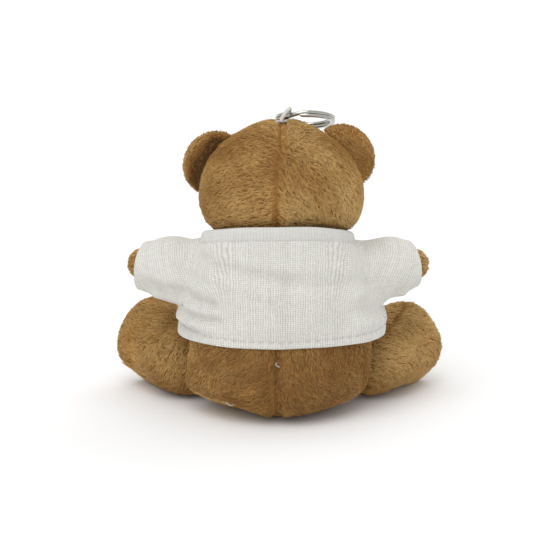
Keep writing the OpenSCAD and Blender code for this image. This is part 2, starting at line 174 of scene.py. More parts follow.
def mesh_object(name, points, faces, **attributes):
    """A piece from points in mm and faces as index tuples, with float attributes on its points."""
    me = bpy.data.meshes.new(name)
    groups = faces if isinstance(faces, list) else [faces]
    loops = np.concatenate([np.asarray(g, np.int32).ravel() for g in groups])
    sizes = np.concatenate([np.full(len(g), np.asarray(g).shape[1], np.int32) for g in groups])
    starts = np.concatenate([[0], np.cumsum(sizes)[:-1]]).astype(np.int32)
    me.vertices.add(len(points))
    me.vertices.foreach_set("co", (np.asarray(points, float) * MM).astype(np.float32).ravel())
    me.loops.add(len(loops))
    me.loops.foreach_set("vertex_index", loops)
    me.polygons.add(len(sizes))
    me.polygons.foreach_set("loop_start", starts)
    me.polygons.foreach_set("use_smooth", np.full(len(sizes), True))
    me.update(calc_edges=True)
    me.validate()
    for key, value in attributes.items():
        layer = me.attributes.new(key, "FLOAT", "POINT")
        layer.data.foreach_set("value", np.asarray(value, np.float32))
    ob = bpy.data.objects.new(name, me)
    scene.collection.objects.link(ob)
    return ob


def vectors(mesh, what):
    """The co or normal of each of a mesh's points."""
    out = np.zeros(len(mesh.vertices) * 3, np.float32)
    mesh.vertices.foreach_get(what, out)
    return out.reshape(-1, 3)


def give(ob, material):
    ob.data.materials.clear()
    ob.data.materials.append(material)
    return ob


# ---------------- materials
class Nodes:
    """A material's node tree with short calls to add nodes and link them."""

    def __init__(self, name):
        self.material = bpy.data.materials.new(name)
        self.material.use_nodes = True
        self.tree = self.material.node_tree
        self.shader = self.tree.nodes["Principled BSDF"]

    def add(self, kind, inputs=None, **settings):
        node = self.tree.nodes.new("ShaderNode" + kind)
        for key, value in settings.items():
            setattr(node, key, value)
        for key, value in (inputs or {}).items():
            if isinstance(value, bpy.types.NodeSocket):
                self.tree.links.new(value, node.inputs[key])
            else:
                node.inputs[key].default_value = value
        return node

    def place(self, scale=(1, 1, 1), turn=(0, 0, 0), at="Object"):
        where = self.add("TexCoord").outputs[at]
        return self.add("Mapping", {"Vector": where, "Scale": scale, "Rotation": turn}).outputs[0]

    def noise(self, scale, detail=3, rough=0.5, where=None, **more):
        where = where or self.place()
        return self.add("TexNoise", {"Vector": where, "Scale": scale, "Detail": detail,
                                     "Roughness": rough, **more}).outputs["Fac"]

    def math(self, operation, a, b=0.0, c=0.0):
        return self.add("Math", {0: a, 1: b, 2: c}, operation=operation).outputs[0]

    def span(self, value, low, high, to_low=0.0, to_high=1.0):
        return self.add("MapRange", {"Value": value, "From Min": low, "From Max": high,
                                     "To Min": to_low, "To Max": to_high}).outputs[0]

    def ramp(self, value, stops):
        node = self.add("ValToRGB", {"Fac": value})
        band = node.color_ramp
        while len(band.elements) < len(stops):
            band.elements.new(0.5)
        for element, (at, colour) in zip(band.elements, stops):
            element.position = at
            element.color = (*colour, 1)
        return node.outputs["Color"]

    def grey(self, value):
        return self.add("CombineColor", {0: value, 1: value, 2: value}).outputs[0]

    def blend(self, share, a, b, way="MIX"):
        node = self.add("Mix", data_type="RGBA", blend_type=way)
        for socket, value in (("Factor", share), ("A", a), ("B", b)):
            kind = "VALUE" if socket == "Factor" else "RGBA"
            found = [s for s in node.inputs if s.name == socket and s.type == kind][0]
            if isinstance(value, bpy.types.NodeSocket):
                self.tree.links.new(value, found)
            else:
                found.default_value = value if socket == "Factor" else (*value, 1)
        return [s for s in node.outputs if s.type == "RGBA"][0]

    def bump(self, height, depth, strength=1.0):
        node = self.add("Bump", {"Height": height, "Distance": depth, "Strength": strength})
        self.tree.links.new(node.outputs[0], self.shader.inputs["Normal"])

    def link(self, value, socket):
        self.tree.links.new(value, self.shader.inputs[socket])

    def set(self, **values):
        for key, value in values.items():
            self.shader.inputs[key.replace("_", " ")].default_value = value


def plush_material(name, root, body, tip, patch):
    """Short pile: strands dark at the root and pale at the tip, with soft paler and darker areas."""
    m = Nodes(name)
    tone = m.add("Attribute", attribute_name="tone").outputs["Fac"]
    # The darkest stop is painted shade: only the ears' pile reaches under the root's tone, most in the left
    # ear's cup.
    darkest = np.array(root) * 0.35
    strand = m.ramp(tone, [(0.0, darkest), (0.14, root), (0.5, body), (1.0, tip)])
    cloud = m.span(m.noise(70, 3, 0.55), 0.35, 0.68)
    colour = m.blend(m.math("MULTIPLY", cloud, 0.45), strand, patch, "MULTIPLY")
    fine = m.span(m.noise(900, 2, 0.6), 0.3, 0.7, 0.82, 1.12)
    m.link(m.blend(1.0, colour, m.grey(fine), "MULTIPLY"), "Base Color")
    m.link(m.span(m.noise(240, 2), 0.3, 0.7, 0.62, 0.82), "Roughness")
    m.set(Sheen_Weight=0.2, Sheen_Roughness=0.35, Sheen_Tint=(1.0, 0.80, 0.50, 1),
          Specular_IOR_Level=0.12)
    m.bump(m.noise(2600, 2), 0.00006, 0.6)
    return m.material


PLUSH = plush_material(
    "plush", (0.28, 0.13, 0.034), (0.48, 0.262, 0.078), (0.70, 0.46, 0.185), (0.80, 0.74, 0.62))
LIGHT_PLUSH = plush_material(
    "light_plush", (0.34, 0.20, 0.075), (0.62, 0.41, 0.18), (0.80, 0.60, 0.34), (0.88, 0.84, 0.76))


def knit_material(name, wale, course, low, high, rib):
    """Plain knit: columns of small V stitches on the pattern's own grid, in millimetres.

    wale and course are a stitch's width and height, low and high the colours of the painted shade in
    the gaps and of the yarn's tops, and rib the part of the relief that the columns have of their own.
    """
    m = Nodes(name)
    grid = m.add("SeparateXYZ", {0: m.add("UVMap", uv_map="knit").outputs[0]})
    across = grid.outputs[0]
    up = m.math("ADD", grid.outputs[1], m.span(m.noise(190, 3), 0, 1, -0.9, 0.9))
    wobble = m.span(m.noise(220, 3), 0, 1, -0.7, 0.7)
    column = m.math("DIVIDE", m.math("ADD", across, wobble), wale)
    from_middle = m.math("ABSOLUTE", m.math("SUBTRACT", m.math("FRACT", column), 0.5))
    column_height = m.span(from_middle, 0.5, 0.12, 0, 1)
    slanted = m.math("ADD", m.math("DIVIDE", up, course), m.math("MULTIPLY", from_middle, 0.5))
    loop = m.math("ABSOLUTE", m.math("SUBTRACT", m.math("FRACT", slanted), 0.5))
    loop_height = m.span(loop, 0.5, 0.1, 0, 1)
    both = m.math("MULTIPLY", column_height, loop_height)
    height = m.math("MULTIPLY_ADD", column_height, rib, m.math("MULTIPLY", both, 1 - rib))
    wale_number, row_number = m.math("FLOOR", column), m.math("FLOOR", m.math("DIVIDE", up, course))
    stitch = m.add("CombineXYZ", {0: wale_number, 1: row_number}).outputs[0]
    uneven = m.add("TexWhiteNoise", {"Vector": stitch}, noise_dimensions="2D").outputs["Value"]
    wale_tone = m.add("TexWhiteNoise", {"W": wale_number}, noise_dimensions="1D").outputs["Value"]
    # The colour follows the stitch relief: painted shade in the gaps between loops, and paler yarn where it
    # stands highest.
    light = m.math("MULTIPLY_ADD", wale_tone, 0.15, m.math("MULTIPLY", height, 0.8))
    light = m.math("MULTIPLY_ADD", uneven, 0.25, light)
    gap_shade = m.math("MULTIPLY", m.span(from_middle, 0.3, 0.5, 0, 1), m.span(loop, 0.25, 0.5, 0, 1))
    light = m.math("SUBTRACT", light, m.math("MULTIPLY", gap_shade, m.span(m.noise(160, 2), 0.35, 0.65, 0.3, 1.0)))
    shade = m.ramp(light, [(0.0, low), (0.6, mix(np.array(low), np.array(high), 0.75)), (1.0, high)])
    stretch = m.add("Attribute", attribute_name="stretch").outputs["Fac"]
    here_and_there = m.math("MULTIPLY", stretch, m.span(m.noise(420, 2), 0.45, 0.62))
    holes = m.math("MULTIPLY", m.math("LESS_THAN", height, 0.16), here_and_there)
    shade = m.blend(m.math("MULTIPLY", holes, 0.75), shade, (0.40, 0.32, 0.20))
    cloud = m.span(m.noise(45, 3), 0.3, 0.7, 0.93, 1.0)
    m.link(m.blend(1.0, shade, m.grey(cloud), "MULTIPLY"), "Base Color")
    m.link(m.span(height, 0, 1, 0.95, 0.8), "Roughness")
    m.set(Sheen_Weight=0.15, Sheen_Roughness=0.6, Specular_IOR_Level=0.2)
    fuzz = m.math("MULTIPLY_ADD", m.noise(1500, 3), 0.35, height)
    m.bump(fuzz, 0.00006, 0.6)
    return m.material


# Stretched jersey over the back also shows the brown plush through its gaps
JERSEY = knit_material("jersey", 0.81, 0.62, (0.48, 0.465, 0.41), (0.755, 0.748, 0.705), 0.15)
RIB_WALE = 1.05
RIB_KNIT = knit_material("rib_knit", RIB_WALE, 0.75, (0.56, 0.55, 0.515), (0.665, 0.66, 0.625), 0.5)


def thread_material(name, low, high, turns):
    m = Nodes(name)
    twist = {"Vector": m.place(), "Scale": turns, "Distortion": 1.2, "Detail": 1.0}
    strand = m.add("TexWave", twist, wave_type="BANDS").outputs["Fac"]
    m.link(m.ramp(strand, [(0, low), (1, high)]), "Base Color")
    m.link(m.span(strand, 0, 1, 0.75, 0.5), "Roughness")
    m.set(Sheen_Weight=0.2, Specular_IOR_Level=0.35)
    m.bump(strand, 0.00012, 0.7)
    return m.material


NOSE_THREAD = thread_material("nose_thread", (0.012, 0.006, 0.004), (0.055, 0.028, 0.016), 520)
SEWING_THREAD = thread_material("sewing_thread", (0.45, 0.44, 0.42), (0.70, 0.69, 0.66), 700)
CORD_MATERIAL = thread_material("cord", (0.52, 0.50, 0.45), (0.80, 0.79, 0.74), 900)


def plastic_material(name, low, high, rough):
    m = Nodes(name)
    cloud = m.noise(180, 3)
    m.link(m.ramp(cloud, [(0.3, low), (0.7, high)]), "Base Color")
    m.link(m.span(m.noise(700, 3), 0.3, 0.7, rough[0], rough[1]), "Roughness")
    m.set(Specular_IOR_Level=0.14)
    m.bump(m.noise(300, 2), 0.00001, 0.3)
    return m.material


def nickel_material():
    """Bright nickel over steel: a warm cast, fine drawing marks along the wire and small dull spots."""
    m = Nodes("ring_steel")
    marks = m.noise(1800, 4, 0.6, m.place(scale=(0.25, 0.25, 4)))
    spots = m.span(m.noise(500, 3), 0.55, 0.75)
    m.link(m.ramp(spots, [(0, (0.46, 0.45, 0.42)), (1, (0.34, 0.32, 0.28))]), "Base Color")
    m.link(m.math("ADD", m.span(marks, 0.3, 0.7, 0.10, 0.22), m.math("MULTIPLY", spots, 0.15)), "Roughness")
    m.set(Metallic=1.0)
    m.bump(marks, 0.000012, 0.4)
    return m.material


EYE = plastic_material("eye_plastic", (0.006, 0.005, 0.005), (0.016, 0.011, 0.009), (0.05, 0.12))
WASHER = plastic_material("washer_plastic", (0.70, 0.70, 0.67), (0.80, 0.80, 0.78), (0.4, 0.5))
NICKEL = nickel_material()


# ---------------- the cord, which comes first
def distance_along(route):
    return np.concatenate([[0], np.cumsum(np.linalg.norm(np.diff(route, axis=0), axis=1))])


def tube(route, radius, sides, relief=None):
    """Points and faces of a round tube along a route. relief(along, round) is added to its radius."""
    heading = unit(np.gradient(route, axis=0))
    side = unit(np.cross(heading, [0.5, -0.3, 1.0]))
    for i in range(1, len(side)):
        side[i] = unit(side[i - 1] - heading[i] * (side[i - 1] @ heading[i]))
    other = np.cross(heading, side)
    along = distance_along(route)
    a = np.arange(sides) * TURN / sides
    r = radius + (relief(along[:, None], a[None, :]) if relief else 0 * along[:, None] * a[None, :])
    round_way = side[:, None] * np.cos(a)[None, :, None] + other[:, None] * np.sin(a)[None, :, None]
    return closed_tube(route[:, None] + r[..., None] * round_way, route[[0, -1]])


def smooth_route(points, count):
    """A Catmull-Rom curve through the points."""
    p = np.concatenate([[2 * points[0] - points[1]], points, [2 * points[-1] - points[-2]]])
    t = np.linspace(0, len(points) - 1 - 1e-9, count)
    i = t.astype(int)
    f = (t - i)[:, None]
    a, b, c, d = p[i], p[i + 1], p[i + 2], p[i + 3]
    square, cube = (2 * a - 5 * b + 4 * c - d) * f ** 2, (3 * b - a - 3 * c + d) * f ** 3
    return 0.5 * (2 * b + (c - a) * f + square + cube)


def make_cord():
    """A round braid of white threads: eight strands that cross in two directions."""
    lay_length, relief = 3.4, 0.09

    def braid(s, a):
        one = np.abs(np.sin(2 * a + s * TURN / lay_length))
        two = np.abs(np.sin(2 * a - s * TURN / lay_length))
        return relief * np.maximum(one, two) - 0.07

    route = smooth_route(CORD_ROUTE, 420)
    ob = give(mesh_object("cord_braid", *tube(route, CORD_D / 2, 20, braid)), CORD_MATERIAL)
    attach(ob, "cord")
    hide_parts("cord_loop")


make_cord()


# ---------------- forms, as grids of points
UP = np.array([0, 0, 1.0])
ARM_AXIS = np.array([cosd(ARM_FORWARD), -sind(ARM_FORWARD), 0])
ARM_ACROSS = np.array([sind(ARM_FORWARD), cosd(ARM_FORWARD), 0])
LEG_AXIS = np.array([sind(LEG_SPLAY), -cosd(LEG_SPLAY), 0])
LEG_ACROSS = np.array([cosd(LEG_SPLAY), sind(LEG_SPLAY), 0])


def egg(c, form, u, v):
    """A round form about c: u goes round from its left by way of its back, and v climbs to 90 on top."""
    ring = np.maximum(cosd(v), 0) ** np.where(v > 0, form["power"], form["low"])
    climb = np.where(v > 0, sind(v), -np.abs(sind(v)) ** form["low"])
    depth = np.where(sind(u) >= 0, form["back"], form["front"])
    height = np.where(v > 0, form["up"], form["down"])
    return np.stack([
        c[0] + form["w"] * ring * cosd(u),
        c[1] + depth * ring * sind(u),
        c[2] + height * climb], -1)


def arm_point(u, v):
    r = ARM_R * np.maximum(cosd(v), 0) ** np.where(v > 0, ARM_FULL, 1)
    along = np.where(v > 0, ARM_LEN, ARM_R) * sind(v)
    return (SHOULDER + ARM_ACROSS * (r * cosd(u))[..., None] + ARM_AXIS * along[..., None]
            + UP * (r * sind(u))[..., None])


def leg_half(v, foot):
    c = np.maximum(cosd(v), 0)
    return np.where(v > 0, mix(LEG_R, foot, sind(v)) * c ** FOOT_FULL, LEG_R * c)


def leg_middle(v):
    return np.where(v > 0, leg_half(v, FOOT_H) + TOE_LIFT * np.maximum(sind(v), 0) ** 6 - LEG_R, 0)


def leg_point(u, v):
    w, h = leg_half(v, FOOT_W), leg_half(v, FOOT_H)
    along = np.where(v > 0, LEG_LEN, LEG_R) * sind(v)
    return (HIP + LEG_ACROSS * (w * cosd(u))[..., None] + LEG_AXIS * along[..., None]
            + UP * (leg_middle(v) + h * sind(u))[..., None])


def face_y(x, z):
    height = np.where(z > HEAD_C[2], HEAD["up"], HEAD["down"])
    left_over = 1 - (x / HEAD["w"]) ** 2 - ((z - HEAD_C[2]) / height) ** 2
    return -HEAD["front"] * np.sqrt(np.maximum(0.001, left_over))


def muzzle_y(x, z):
    bulge = np.sqrt(np.maximum(0, 1 - (x / MUZZLE_W) ** 2 - ((z - MUZZLE_Z) / MUZZLE_H) ** 2))
    return face_y(x, z) - 0.05 - MUZZLE_OUT * bulge


class Skin:
    """A grid of points, rows by columns, with normals that point outward. closed: the columns go round."""

    def __init__(self, points, closed=True, outward=None):
        self.p, self.closed = points, closed
        self.outward = points - points.reshape(-1, 3).mean(0) if outward is None else outward
        self.renew()

    def renew(self):
        """Takes the normals from the points again."""
        p = self.p
        if self.closed:
            across = np.roll(p, -1, 1) - np.roll(p, 1, 1)
        else:
            across = np.gradient(p, axis=1)
        up = np.gradient(p, axis=0)
        n = np.cross(across, up)
        weak = np.linalg.norm(n, axis=-1) < 1e-6
        n = unit(n)
        flip = np.sign((n * self.outward).sum(-1).sum())
        n = n * (flip if flip else 1)
        for i in (0, -1):
            if weak[i].any():
                n[i] = unit(n[i + 1 if i == 0 else i - 1].mean(0))
        self.n = n

    def push(self, by):
        """Moves the points out along their normals, in mm."""
        self.p = self.p + self.n * np.asarray(by)[..., None]
        self.renew()

    def at(self, i, j):
        """Point and normal at float grid places."""
        rows, cols = self.p.shape[:2]
        i0 = np.clip(i.astype(int), 0, rows - 2)
        j0 = j.astype(int)
        j1 = (j0 + 1) % cols if self.closed else np.minimum(j0 + 1, cols - 1)
        j0 = j0 % cols
        a, b = (i - i0)[:, None], (j - np.floor(j))[:, None]
        out = []
        for g in (self.p, self.n):
            out.append(mix(mix(g[i0, j0], g[i0, j1], b), mix(g[i0 + 1, j0], g[i0 + 1, j1], b), a))
        return out[0], unit(out[1])

    def scatter(self, density, seed, cols, keep):
        """Float grid places, even over the area. keep(points, normals) says which share stays."""
        rng = np.random.default_rng(seed)
        p = self.p
        right = np.roll(p, -1, 1) if self.closed else p[:, 1:]
        left = p if self.closed else p[:, :-1]
        area = 0.5 * np.linalg.norm(np.cross(right[1:] - left[:-1], left[1:] - right[:-1]), axis=-1)
        mask = np.zeros_like(area)
        mask[:, (np.arange(*cols) % area.shape[1]) if cols else slice(None)] = 1
        area = area * mask
        count = int(area.sum() * density)
        cell = rng.choice(area.size, size=count, p=(area / area.sum()).ravel())
        i, j = np.divmod(cell, area.shape[1])
        i, j = i + rng.random(count), j + rng.random(count)
        if keep is not None:
            points, normals = self.at(i, j)
            stays = rng.random(count) < keep(points, normals)
            i, j = i[stays], j[stays]
        return i, j


def facing(points, quads, normals):
    """1 if the quads turn the way that the normals point, and -1 if they turn the other way."""
    a, b, c, d = (points[quads[:, k]] for k in range(4))
    turned = np.cross(c - a, d - b)
    inside = quads[:, 0] < len(normals)
    return 1 if (turned[inside] * normals[quads[inside, 0]]).sum() > 0 else -1


def grid(us, vs):
    """Rows of all us, one for each of vs: the grid's u and its v."""
    v, u = np.meshgrid(vs, us, indexing="ij")
    return u, v


def shell(skin, cols=None, thick=PLUSH_T):
    """Points and faces of a closed panel: the outer skin, an inner one, and its rim."""
    p, n = skin.p, skin.n
    whole = cols is None and skin.closed
    if cols is not None:
        pick = np.arange(cols[0], cols[1] + 1) % p.shape[1]
        p, n = p[:, pick], n[:, pick]
    rows_n, cols_n = p.shape[:2]
    outer, inner = p.reshape(-1, 3), (p - n * thick).reshape(-1, 3)
    last = cols_n if whole else cols_n - 1
    i, j = np.meshgrid(np.arange(rows_n - 1), np.arange(last), indexing="ij")
    k = (j + 1) % cols_n

    def at(layer, row, col):
        return (layer * rows_n + row) * cols_n + col

    quads = [np.stack([at(0, i, j), at(0, i, k), at(0, i + 1, k), at(0, i + 1, j)], -1).reshape(-1, 4),
             np.stack([at(1, i, j), at(1, i + 1, j), at(1, i + 1, k), at(1, i, k)], -1).reshape(-1, 4)]
    j = np.arange(last)
    k = (j + 1) % cols_n
    for row, turn in ((0, 1), (rows_n - 1, -1)):
        q = np.stack([at(0, row, j), at(1, row, j), at(1, row, k), at(0, row, k)], -1)
        quads.append(q[:, ::turn])
    if not whole:
        i = np.arange(rows_n - 1)
        for col, turn in ((0, -1), (cols_n - 1, 1)):
            q = np.stack([at(0, i, col), at(1, i, col), at(1, i + 1, col), at(0, i + 1, col)], -1)
            quads.append(q[:, ::turn])
    points, quads = np.concatenate([outer, inner]), np.concatenate(quads)
    return points, quads[:, ::facing(points, quads[:len(quads) // 3], n.reshape(-1, 3))]


# ---------------- pile
def strands(root, normal, flow, length, width, lift, seed, curl=0.14):
    """Closed tapering strands that rise from the skin and lie down along the flow, in wavy locks."""
    rng = np.random.default_rng(seed)
    n = len(root)
    flow = unit(flow - normal * (flow * normal).sum(-1, keepdims=True))
    side = np.cross(normal, flow)
    lock = root - flow * (0.6 * (root * flow).sum(-1, keepdims=True))
    length = (length * rng.uniform(0.75, 1.2, n))[:, None]
    width = (width * rng.uniform(0.8, 1.25, n))[:, None]
    lift = (lift * rng.uniform(0.7, 1.35, n))[:, None]
    wave = (curl * (waves(root, 1.0, 21) + 0.3 * rng.normal(size=n)))[:, None]
    second = (curl * (waves(root, 1.3, 22) + 0.3 * rng.normal(size=n)))[:, None]
    lift = lift * (1 + 0.35 * waves(lock, 0.6, 23))[:, None]
    # Each step's share of the length, its height as a share of the lift, and its thickness
    steps = ((0.0, -0.12, 1.0), (0.36, 0.62, 1.0), (0.74, 0.95, 0.75), (1.0, 0.95, 0.0))
    rings, tones = [], []
    tone = np.clip(0.5 + 0.17 * waves(lock, 0.6, 7) + 0.12 * waves(root, 4, 8)
                   + 0.28 * waves(root, 12, 9) + 0.08 * rng.normal(size=n), 0, 1)
    for along, high, thick in steps:
        sway = wave * math.sin(math.pi * along) + second * math.sin(TURN * along)
        centre = root + flow * length * along + normal * length * lift * high + side * length * sway
        shade = np.clip(0.24 + 0.42 * along + 0.6 * (tone - 0.5), 0, 1)
        if thick:
            r = width * thick / 2
            rings += [centre + side * r, centre + normal * r * 0.6, centre - side * r]
            # Painted shade: each strand's two sides are a little darker than its top ridge.
            tones += [shade * 0.85, shade, shade * 0.85]
        else:
            rings.append(centre)
            tones.append(shade)
    per = len(rings)
    points = np.stack(rings, 1).reshape(-1, 3)
    tones = np.stack(tones, 1).reshape(-1)
    at = (np.arange(n) * per)[:, None]
    quads, tris = [], []
    for level in (0, 1):
        for a, b in ((0, 1), (1, 2), (2, 0)):
            quads.append(at + np.array([level * 3 + a, level * 3 + b, level * 3 + 3 + b, level * 3 + 3 + a]))
    for a, b in ((0, 1), (1, 2), (2, 0)):
        tris.append(at + np.array([6 + a, 6 + b, 9]))
    tris.append(at + np.array([2, 1, 0]))
    return points, np.concatenate(quads), np.concatenate(tris), tones


def plush_piece(name, skin, flow, cols=None, density=4.2, length=2.6, width=0.31, lift=0.115, keep=None,
                seed=1, material=PLUSH, node=(), body="torso", thick=PLUSH_T, trim=None,
                mirror=False, curl=0.14, pale=0.0, floor=0.16):
    """A plush panel with its pile. flow(points, normals) gives the way that the pile is brushed.

    keep is the share of the pile that grows at a place, trim its length there, and pale its added
    paleness, partly the pile's own tone and partly painted light and painted shade; floor is the darkest
    tone that it may have.
    """
    points, quads = shell(skin, cols, thick)
    base_tone = np.full(len(points), 0.14)
    i, j = skin.scatter(density, seed, cols, keep)
    root, normal = skin.at(i, j)
    long = length * (trim(root) if trim else np.ones(len(root)))
    hair, hair_quads, hair_tris, tones = strands(
        root, normal, flow(root, normal), long, width, lift, seed + 1, curl)
    per = len(tones) // max(1, len(root))
    tones = np.clip(tones + (np.repeat(pale(root), per) if callable(pale) else pale), floor, 1)
    start = len(points)
    points = np.concatenate([points, hair])
    faces = [np.concatenate([quads, hair_quads + start]), hair_tris + start]
    if mirror:
        points, faces = on_side(-1, points), turned_over(faces)
    ob = mesh_object(name, points, faces, tone=np.concatenate([base_tone, tones]))
    give(ob, material)
    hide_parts(*([node] if isinstance(node, str) else node))
    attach(ob, body)
    return ob


def brushed(direction, swirl=0.3, clump=0.15, seed=3):
    """The flow of a pile that is brushed one way, turned by soft swirls and by small clumps."""
    def flow(p, n):
        d = direction(p) if callable(direction) else np.broadcast_to(np.asarray(direction, float), p.shape)
        t = unit(d - n * (d * n).sum(-1, keepdims=True))
        s = np.cross(n, t)
        rng = np.random.default_rng(seed + 5)
        turn = (swirl * waves(p, 14, seed) + clump * waves(p, 2.6, seed + 1)
                + 0.6 * clump * waves(p, 1.2, seed + 2) + 0.05 * rng.normal(size=len(p)))[:, None]
        return t * np.cos(turn) + s * np.sin(turn)
    return flow


def crease(skin, distance, depth, width):
    """Draws the skin in along a seam: distance is each grid point's distance from it."""
    skin.push(-depth * np.exp(-(distance / width) ** 2))


def lumps(skin, size, height, seed):
    skin.push(height * waves(skin.p, size, seed))


def puffed(skin, seams, most):
    """Cloth simulation: the sewn skin is held at its seams and rims, and swells under its filling.

    seams says which columns are held, and most is the farthest that a point may go, in mm. It runs
    at 50 times the real size, because the solver's own masses and stiffnesses suit metres.
    """
    larger, last_frame = 50, 20
    quads = wall_faces(*skin.p.shape[:2])
    start = skin.p.reshape(-1, 3)
    quads = quads[:, ::facing(start, quads, skin.n.reshape(-1, 3))]
    ob = mesh_object("puffed", start * larger, quads)
    held = np.broadcast_to(seams, skin.p.shape[:2]).copy()
    held[[0, 1, -2, -1]] = True
    ob.vertex_groups.new(name="held").add([int(x) for x in np.flatnonzero(held.ravel())], 1.0, "REPLACE")
    cloth = ob.modifiers.new("cloth", "CLOTH")
    fabric = dict(quality=5, mass=0.05, tension_stiffness=18, compression_stiffness=18, shear_stiffness=8,
                  bending_stiffness=0.3, use_pressure=True, uniform_pressure_force=5.0, shrink_min=-0.03,
                  vertex_group_mass="held")
    for key, value in fabric.items():
        setattr(cloth.settings, key, value)
    cloth.settings.effector_weights.gravity = 0
    cloth.point_cache.frame_start, cloth.point_cache.frame_end = 1, last_frame
    for at in range(1, last_frame + 1):
        scene.frame_set(at)
    moved = ob.evaluated_get(bpy.context.evaluated_depsgraph_get()).to_mesh()
    step = vectors(moved, "co") / (MM * larger) - start
    reach = np.linalg.norm(step, axis=1, keepdims=True)
    skin.p = (start + step * np.minimum(1, most / np.maximum(reach, 1e-9))).reshape(skin.p.shape)
    skin.renew()
    bpy.data.objects.remove(ob)
    scene.frame_set(1)


def seen_at(p):
    """Where points lie as the camera sees them, in mm: across to the bear's left, and up."""
    return np.stack([p[..., 0], -p[..., 1] * math.sin(VIEW_UP) + p[..., 2] * math.cos(VIEW_UP)], -1)


def seen_crease(skin, a, b, depth, width):
    """A crease on the side that the camera sees, from a to b in seen_at's measures."""
    flat = seen_at(skin.p).reshape(-1, 2)
    far = segment_distance(flat, a, b).reshape(skin.p.shape[:2])
    far = np.where(skin.n @ np.array(back) > 0.1, far, 99)
    crease(skin, far, depth, width)


def segment_distance(p, a, b):
    """How far points are from the straight line between a and b."""
    a, b = np.array(a, float), np.array(b, float)
    t = np.clip((p - a) @ (b - a) / ((b - a) @ (b - a)), 0, 1)
    return np.linalg.norm(p - (a + t[:, None] * (b - a)), axis=1)


# ---------------- head
head_rows = np.linspace(-math.degrees(math.asin((HEAD_C[2] - NECK_Z - NECK_GAP) / HEAD["down"])), 88.8, 56)
head_step = 3
head_u = np.arange(0, 360, head_step)
FACE_SEAMS = (180 + FACE_TURN, 360 - FACE_TURN)
head = Skin(egg(HEAD_C, HEAD, *grid(head_u, head_rows)))
head.push(0.2)
lumps(head, 16, 0.3, 11)
puffed(head, np.isin(head_u, [90, *FACE_SEAMS]), 0.5)


def head_seam(p):
    """How far points are from the seam down the back of the head, which wanders a little."""
    seam_x = HEAD_SEAM_X + 0.6 * np.sin((p[..., 2] - 70) / 6)
    return np.where(p[..., 1] > 0, p[..., 0] - seam_x, 99)


crease(head, head_seam(head.p) + 2 * ease((head.p[..., 2] - 86) / 8), 0.8, 0.8)

# The head goes in where the neck band presses it, and most on the bear's right
right = ease(-head.p[..., 0] / 10)
right_back = right * ease(head.p[..., 1] / 6)
band_top = NECK["z"] + 4.0 + 1.2 * right_back + NECK["rise"] * np.clip(head.p[..., 1] / 22, -1, 1)
in_band = band_top - head.p[..., 2]
inset = 0.5 * ease(in_band / 2 + 1) + (0.8 + 0.3 * right_back) * ease(in_band / 3)
head.push(-(inset + 0.5 * right * ease(in_band / 5 + 1)))
mm_per_degree = 0.43
for at in FACE_SEAMS:
    crease(head, np.broadcast_to(np.abs(head_u - at) * mm_per_degree, head.p.shape[:2]), 0.6, 1.2)


def head_flow(p):
    """Brushed out on the left, down on the right, away from the crown's seam, and out over the face."""
    left = p[:, :1] > HEAD_SEAM_X
    d = np.where(left, [1.0, 0, -0.18], [-0.62, 0.1, -0.78])
    top = ease((p[:, 2:3] - 88) / 8)
    d = mix(d, np.concatenate([np.sign(p[:, :1]) * 0.9, 0 * p[:, 1:2] - 0.5, 0 * p[:, 2:3]], 1), top)
    front = ease((-p[:, 1:2] - 3) / 6)
    outward = p - np.array([0, -24, MUZZLE_Z])
    return mix(d, unit(outward) + [0, 0, 0.2], front)


def over_band(p):
    """How high points are over the neck band."""
    return p[:, 2] - BAND_Z - BAND_RISE * np.clip(p[:, 1] / 22, -1, 1)


def from_eye(p):
    """How far points are from the nearer eye, and far from both behind the face."""
    return np.where(p[:, 1] < FACE_Y, np.hypot(np.abs(p[:, 0]) - EYE_X, p[:, 2] - EYE_Z), 99)


def head_keep(p, n):
    """No pile under the neck band, under the muzzle or through the eyes."""
    muzzle = (p[:, 0] / (MUZZLE_W - 1)) ** 2 + ((p[:, 2] - MUZZLE_Z) / (MUZZLE_H - 1)) ** 2 < 1
    muzzle = muzzle & (p[:, 1] < FACE_Y)
    return ((over_band(p) > 0) & ~muzzle & (from_eye(p) >= 2.6)).astype(float)


def head_trim(p):
    """Shorter pile round the eyes, over the neck band, along the seam and on the face."""
    short = np.where(from_eye(p) < 5, 0.55, 1.0) * mix(0.6, 1.0, ease(over_band(p) / 4))
    by_seam = mix(0.75, 1.0, ease(np.abs(head_seam(p)) / 1.5))
    return short * by_seam * mix(1.0, 0.85, ease((-p[:, 1]) / 10))


def head_pale(p):
    """The pile is paler where it is brushed the other way, low on the bear's right, and at the crown;
    painted light makes the head's sides paler.
    """
    right = ease((2 - p[:, 0]) / 5)
    crown = ease((p[:, 2] - 90) / 6) * np.exp(-((p[:, 0] + 4) / 7) ** 2)
    seam = 0.18 * np.exp(-(head_seam(p) / 0.45) ** 2) * ease((89 - p[:, 2]) / 10)
    # Painted light: the head's left and right sides are paler.
    edge = 0.12 * ease((np.abs(p[:, 0]) - 19) / 5)
    return np.where(p[:, 1] > -4, 0.02 + 0.16 * right + 0.14 * crown + edge - seam, 0.04)


HEAD_PANELS = {"head_back_left": (-FACE_TURN, 90), "head_back_right": (90, 180 + FACE_TURN),
               "head_face": FACE_SEAMS}
for k, (name, (a, b)) in enumerate(HEAD_PANELS.items()):
    plush_piece(name + "_plush", head, brushed(head_flow, seed=20), (a // head_step, b // head_step),
                keep=head_keep, trim=head_trim, seed=30 + k, node=(name, "head_stuffing"), body="head",
                pale=head_pale, density=3.6 if name == "head_face" else 4.2)


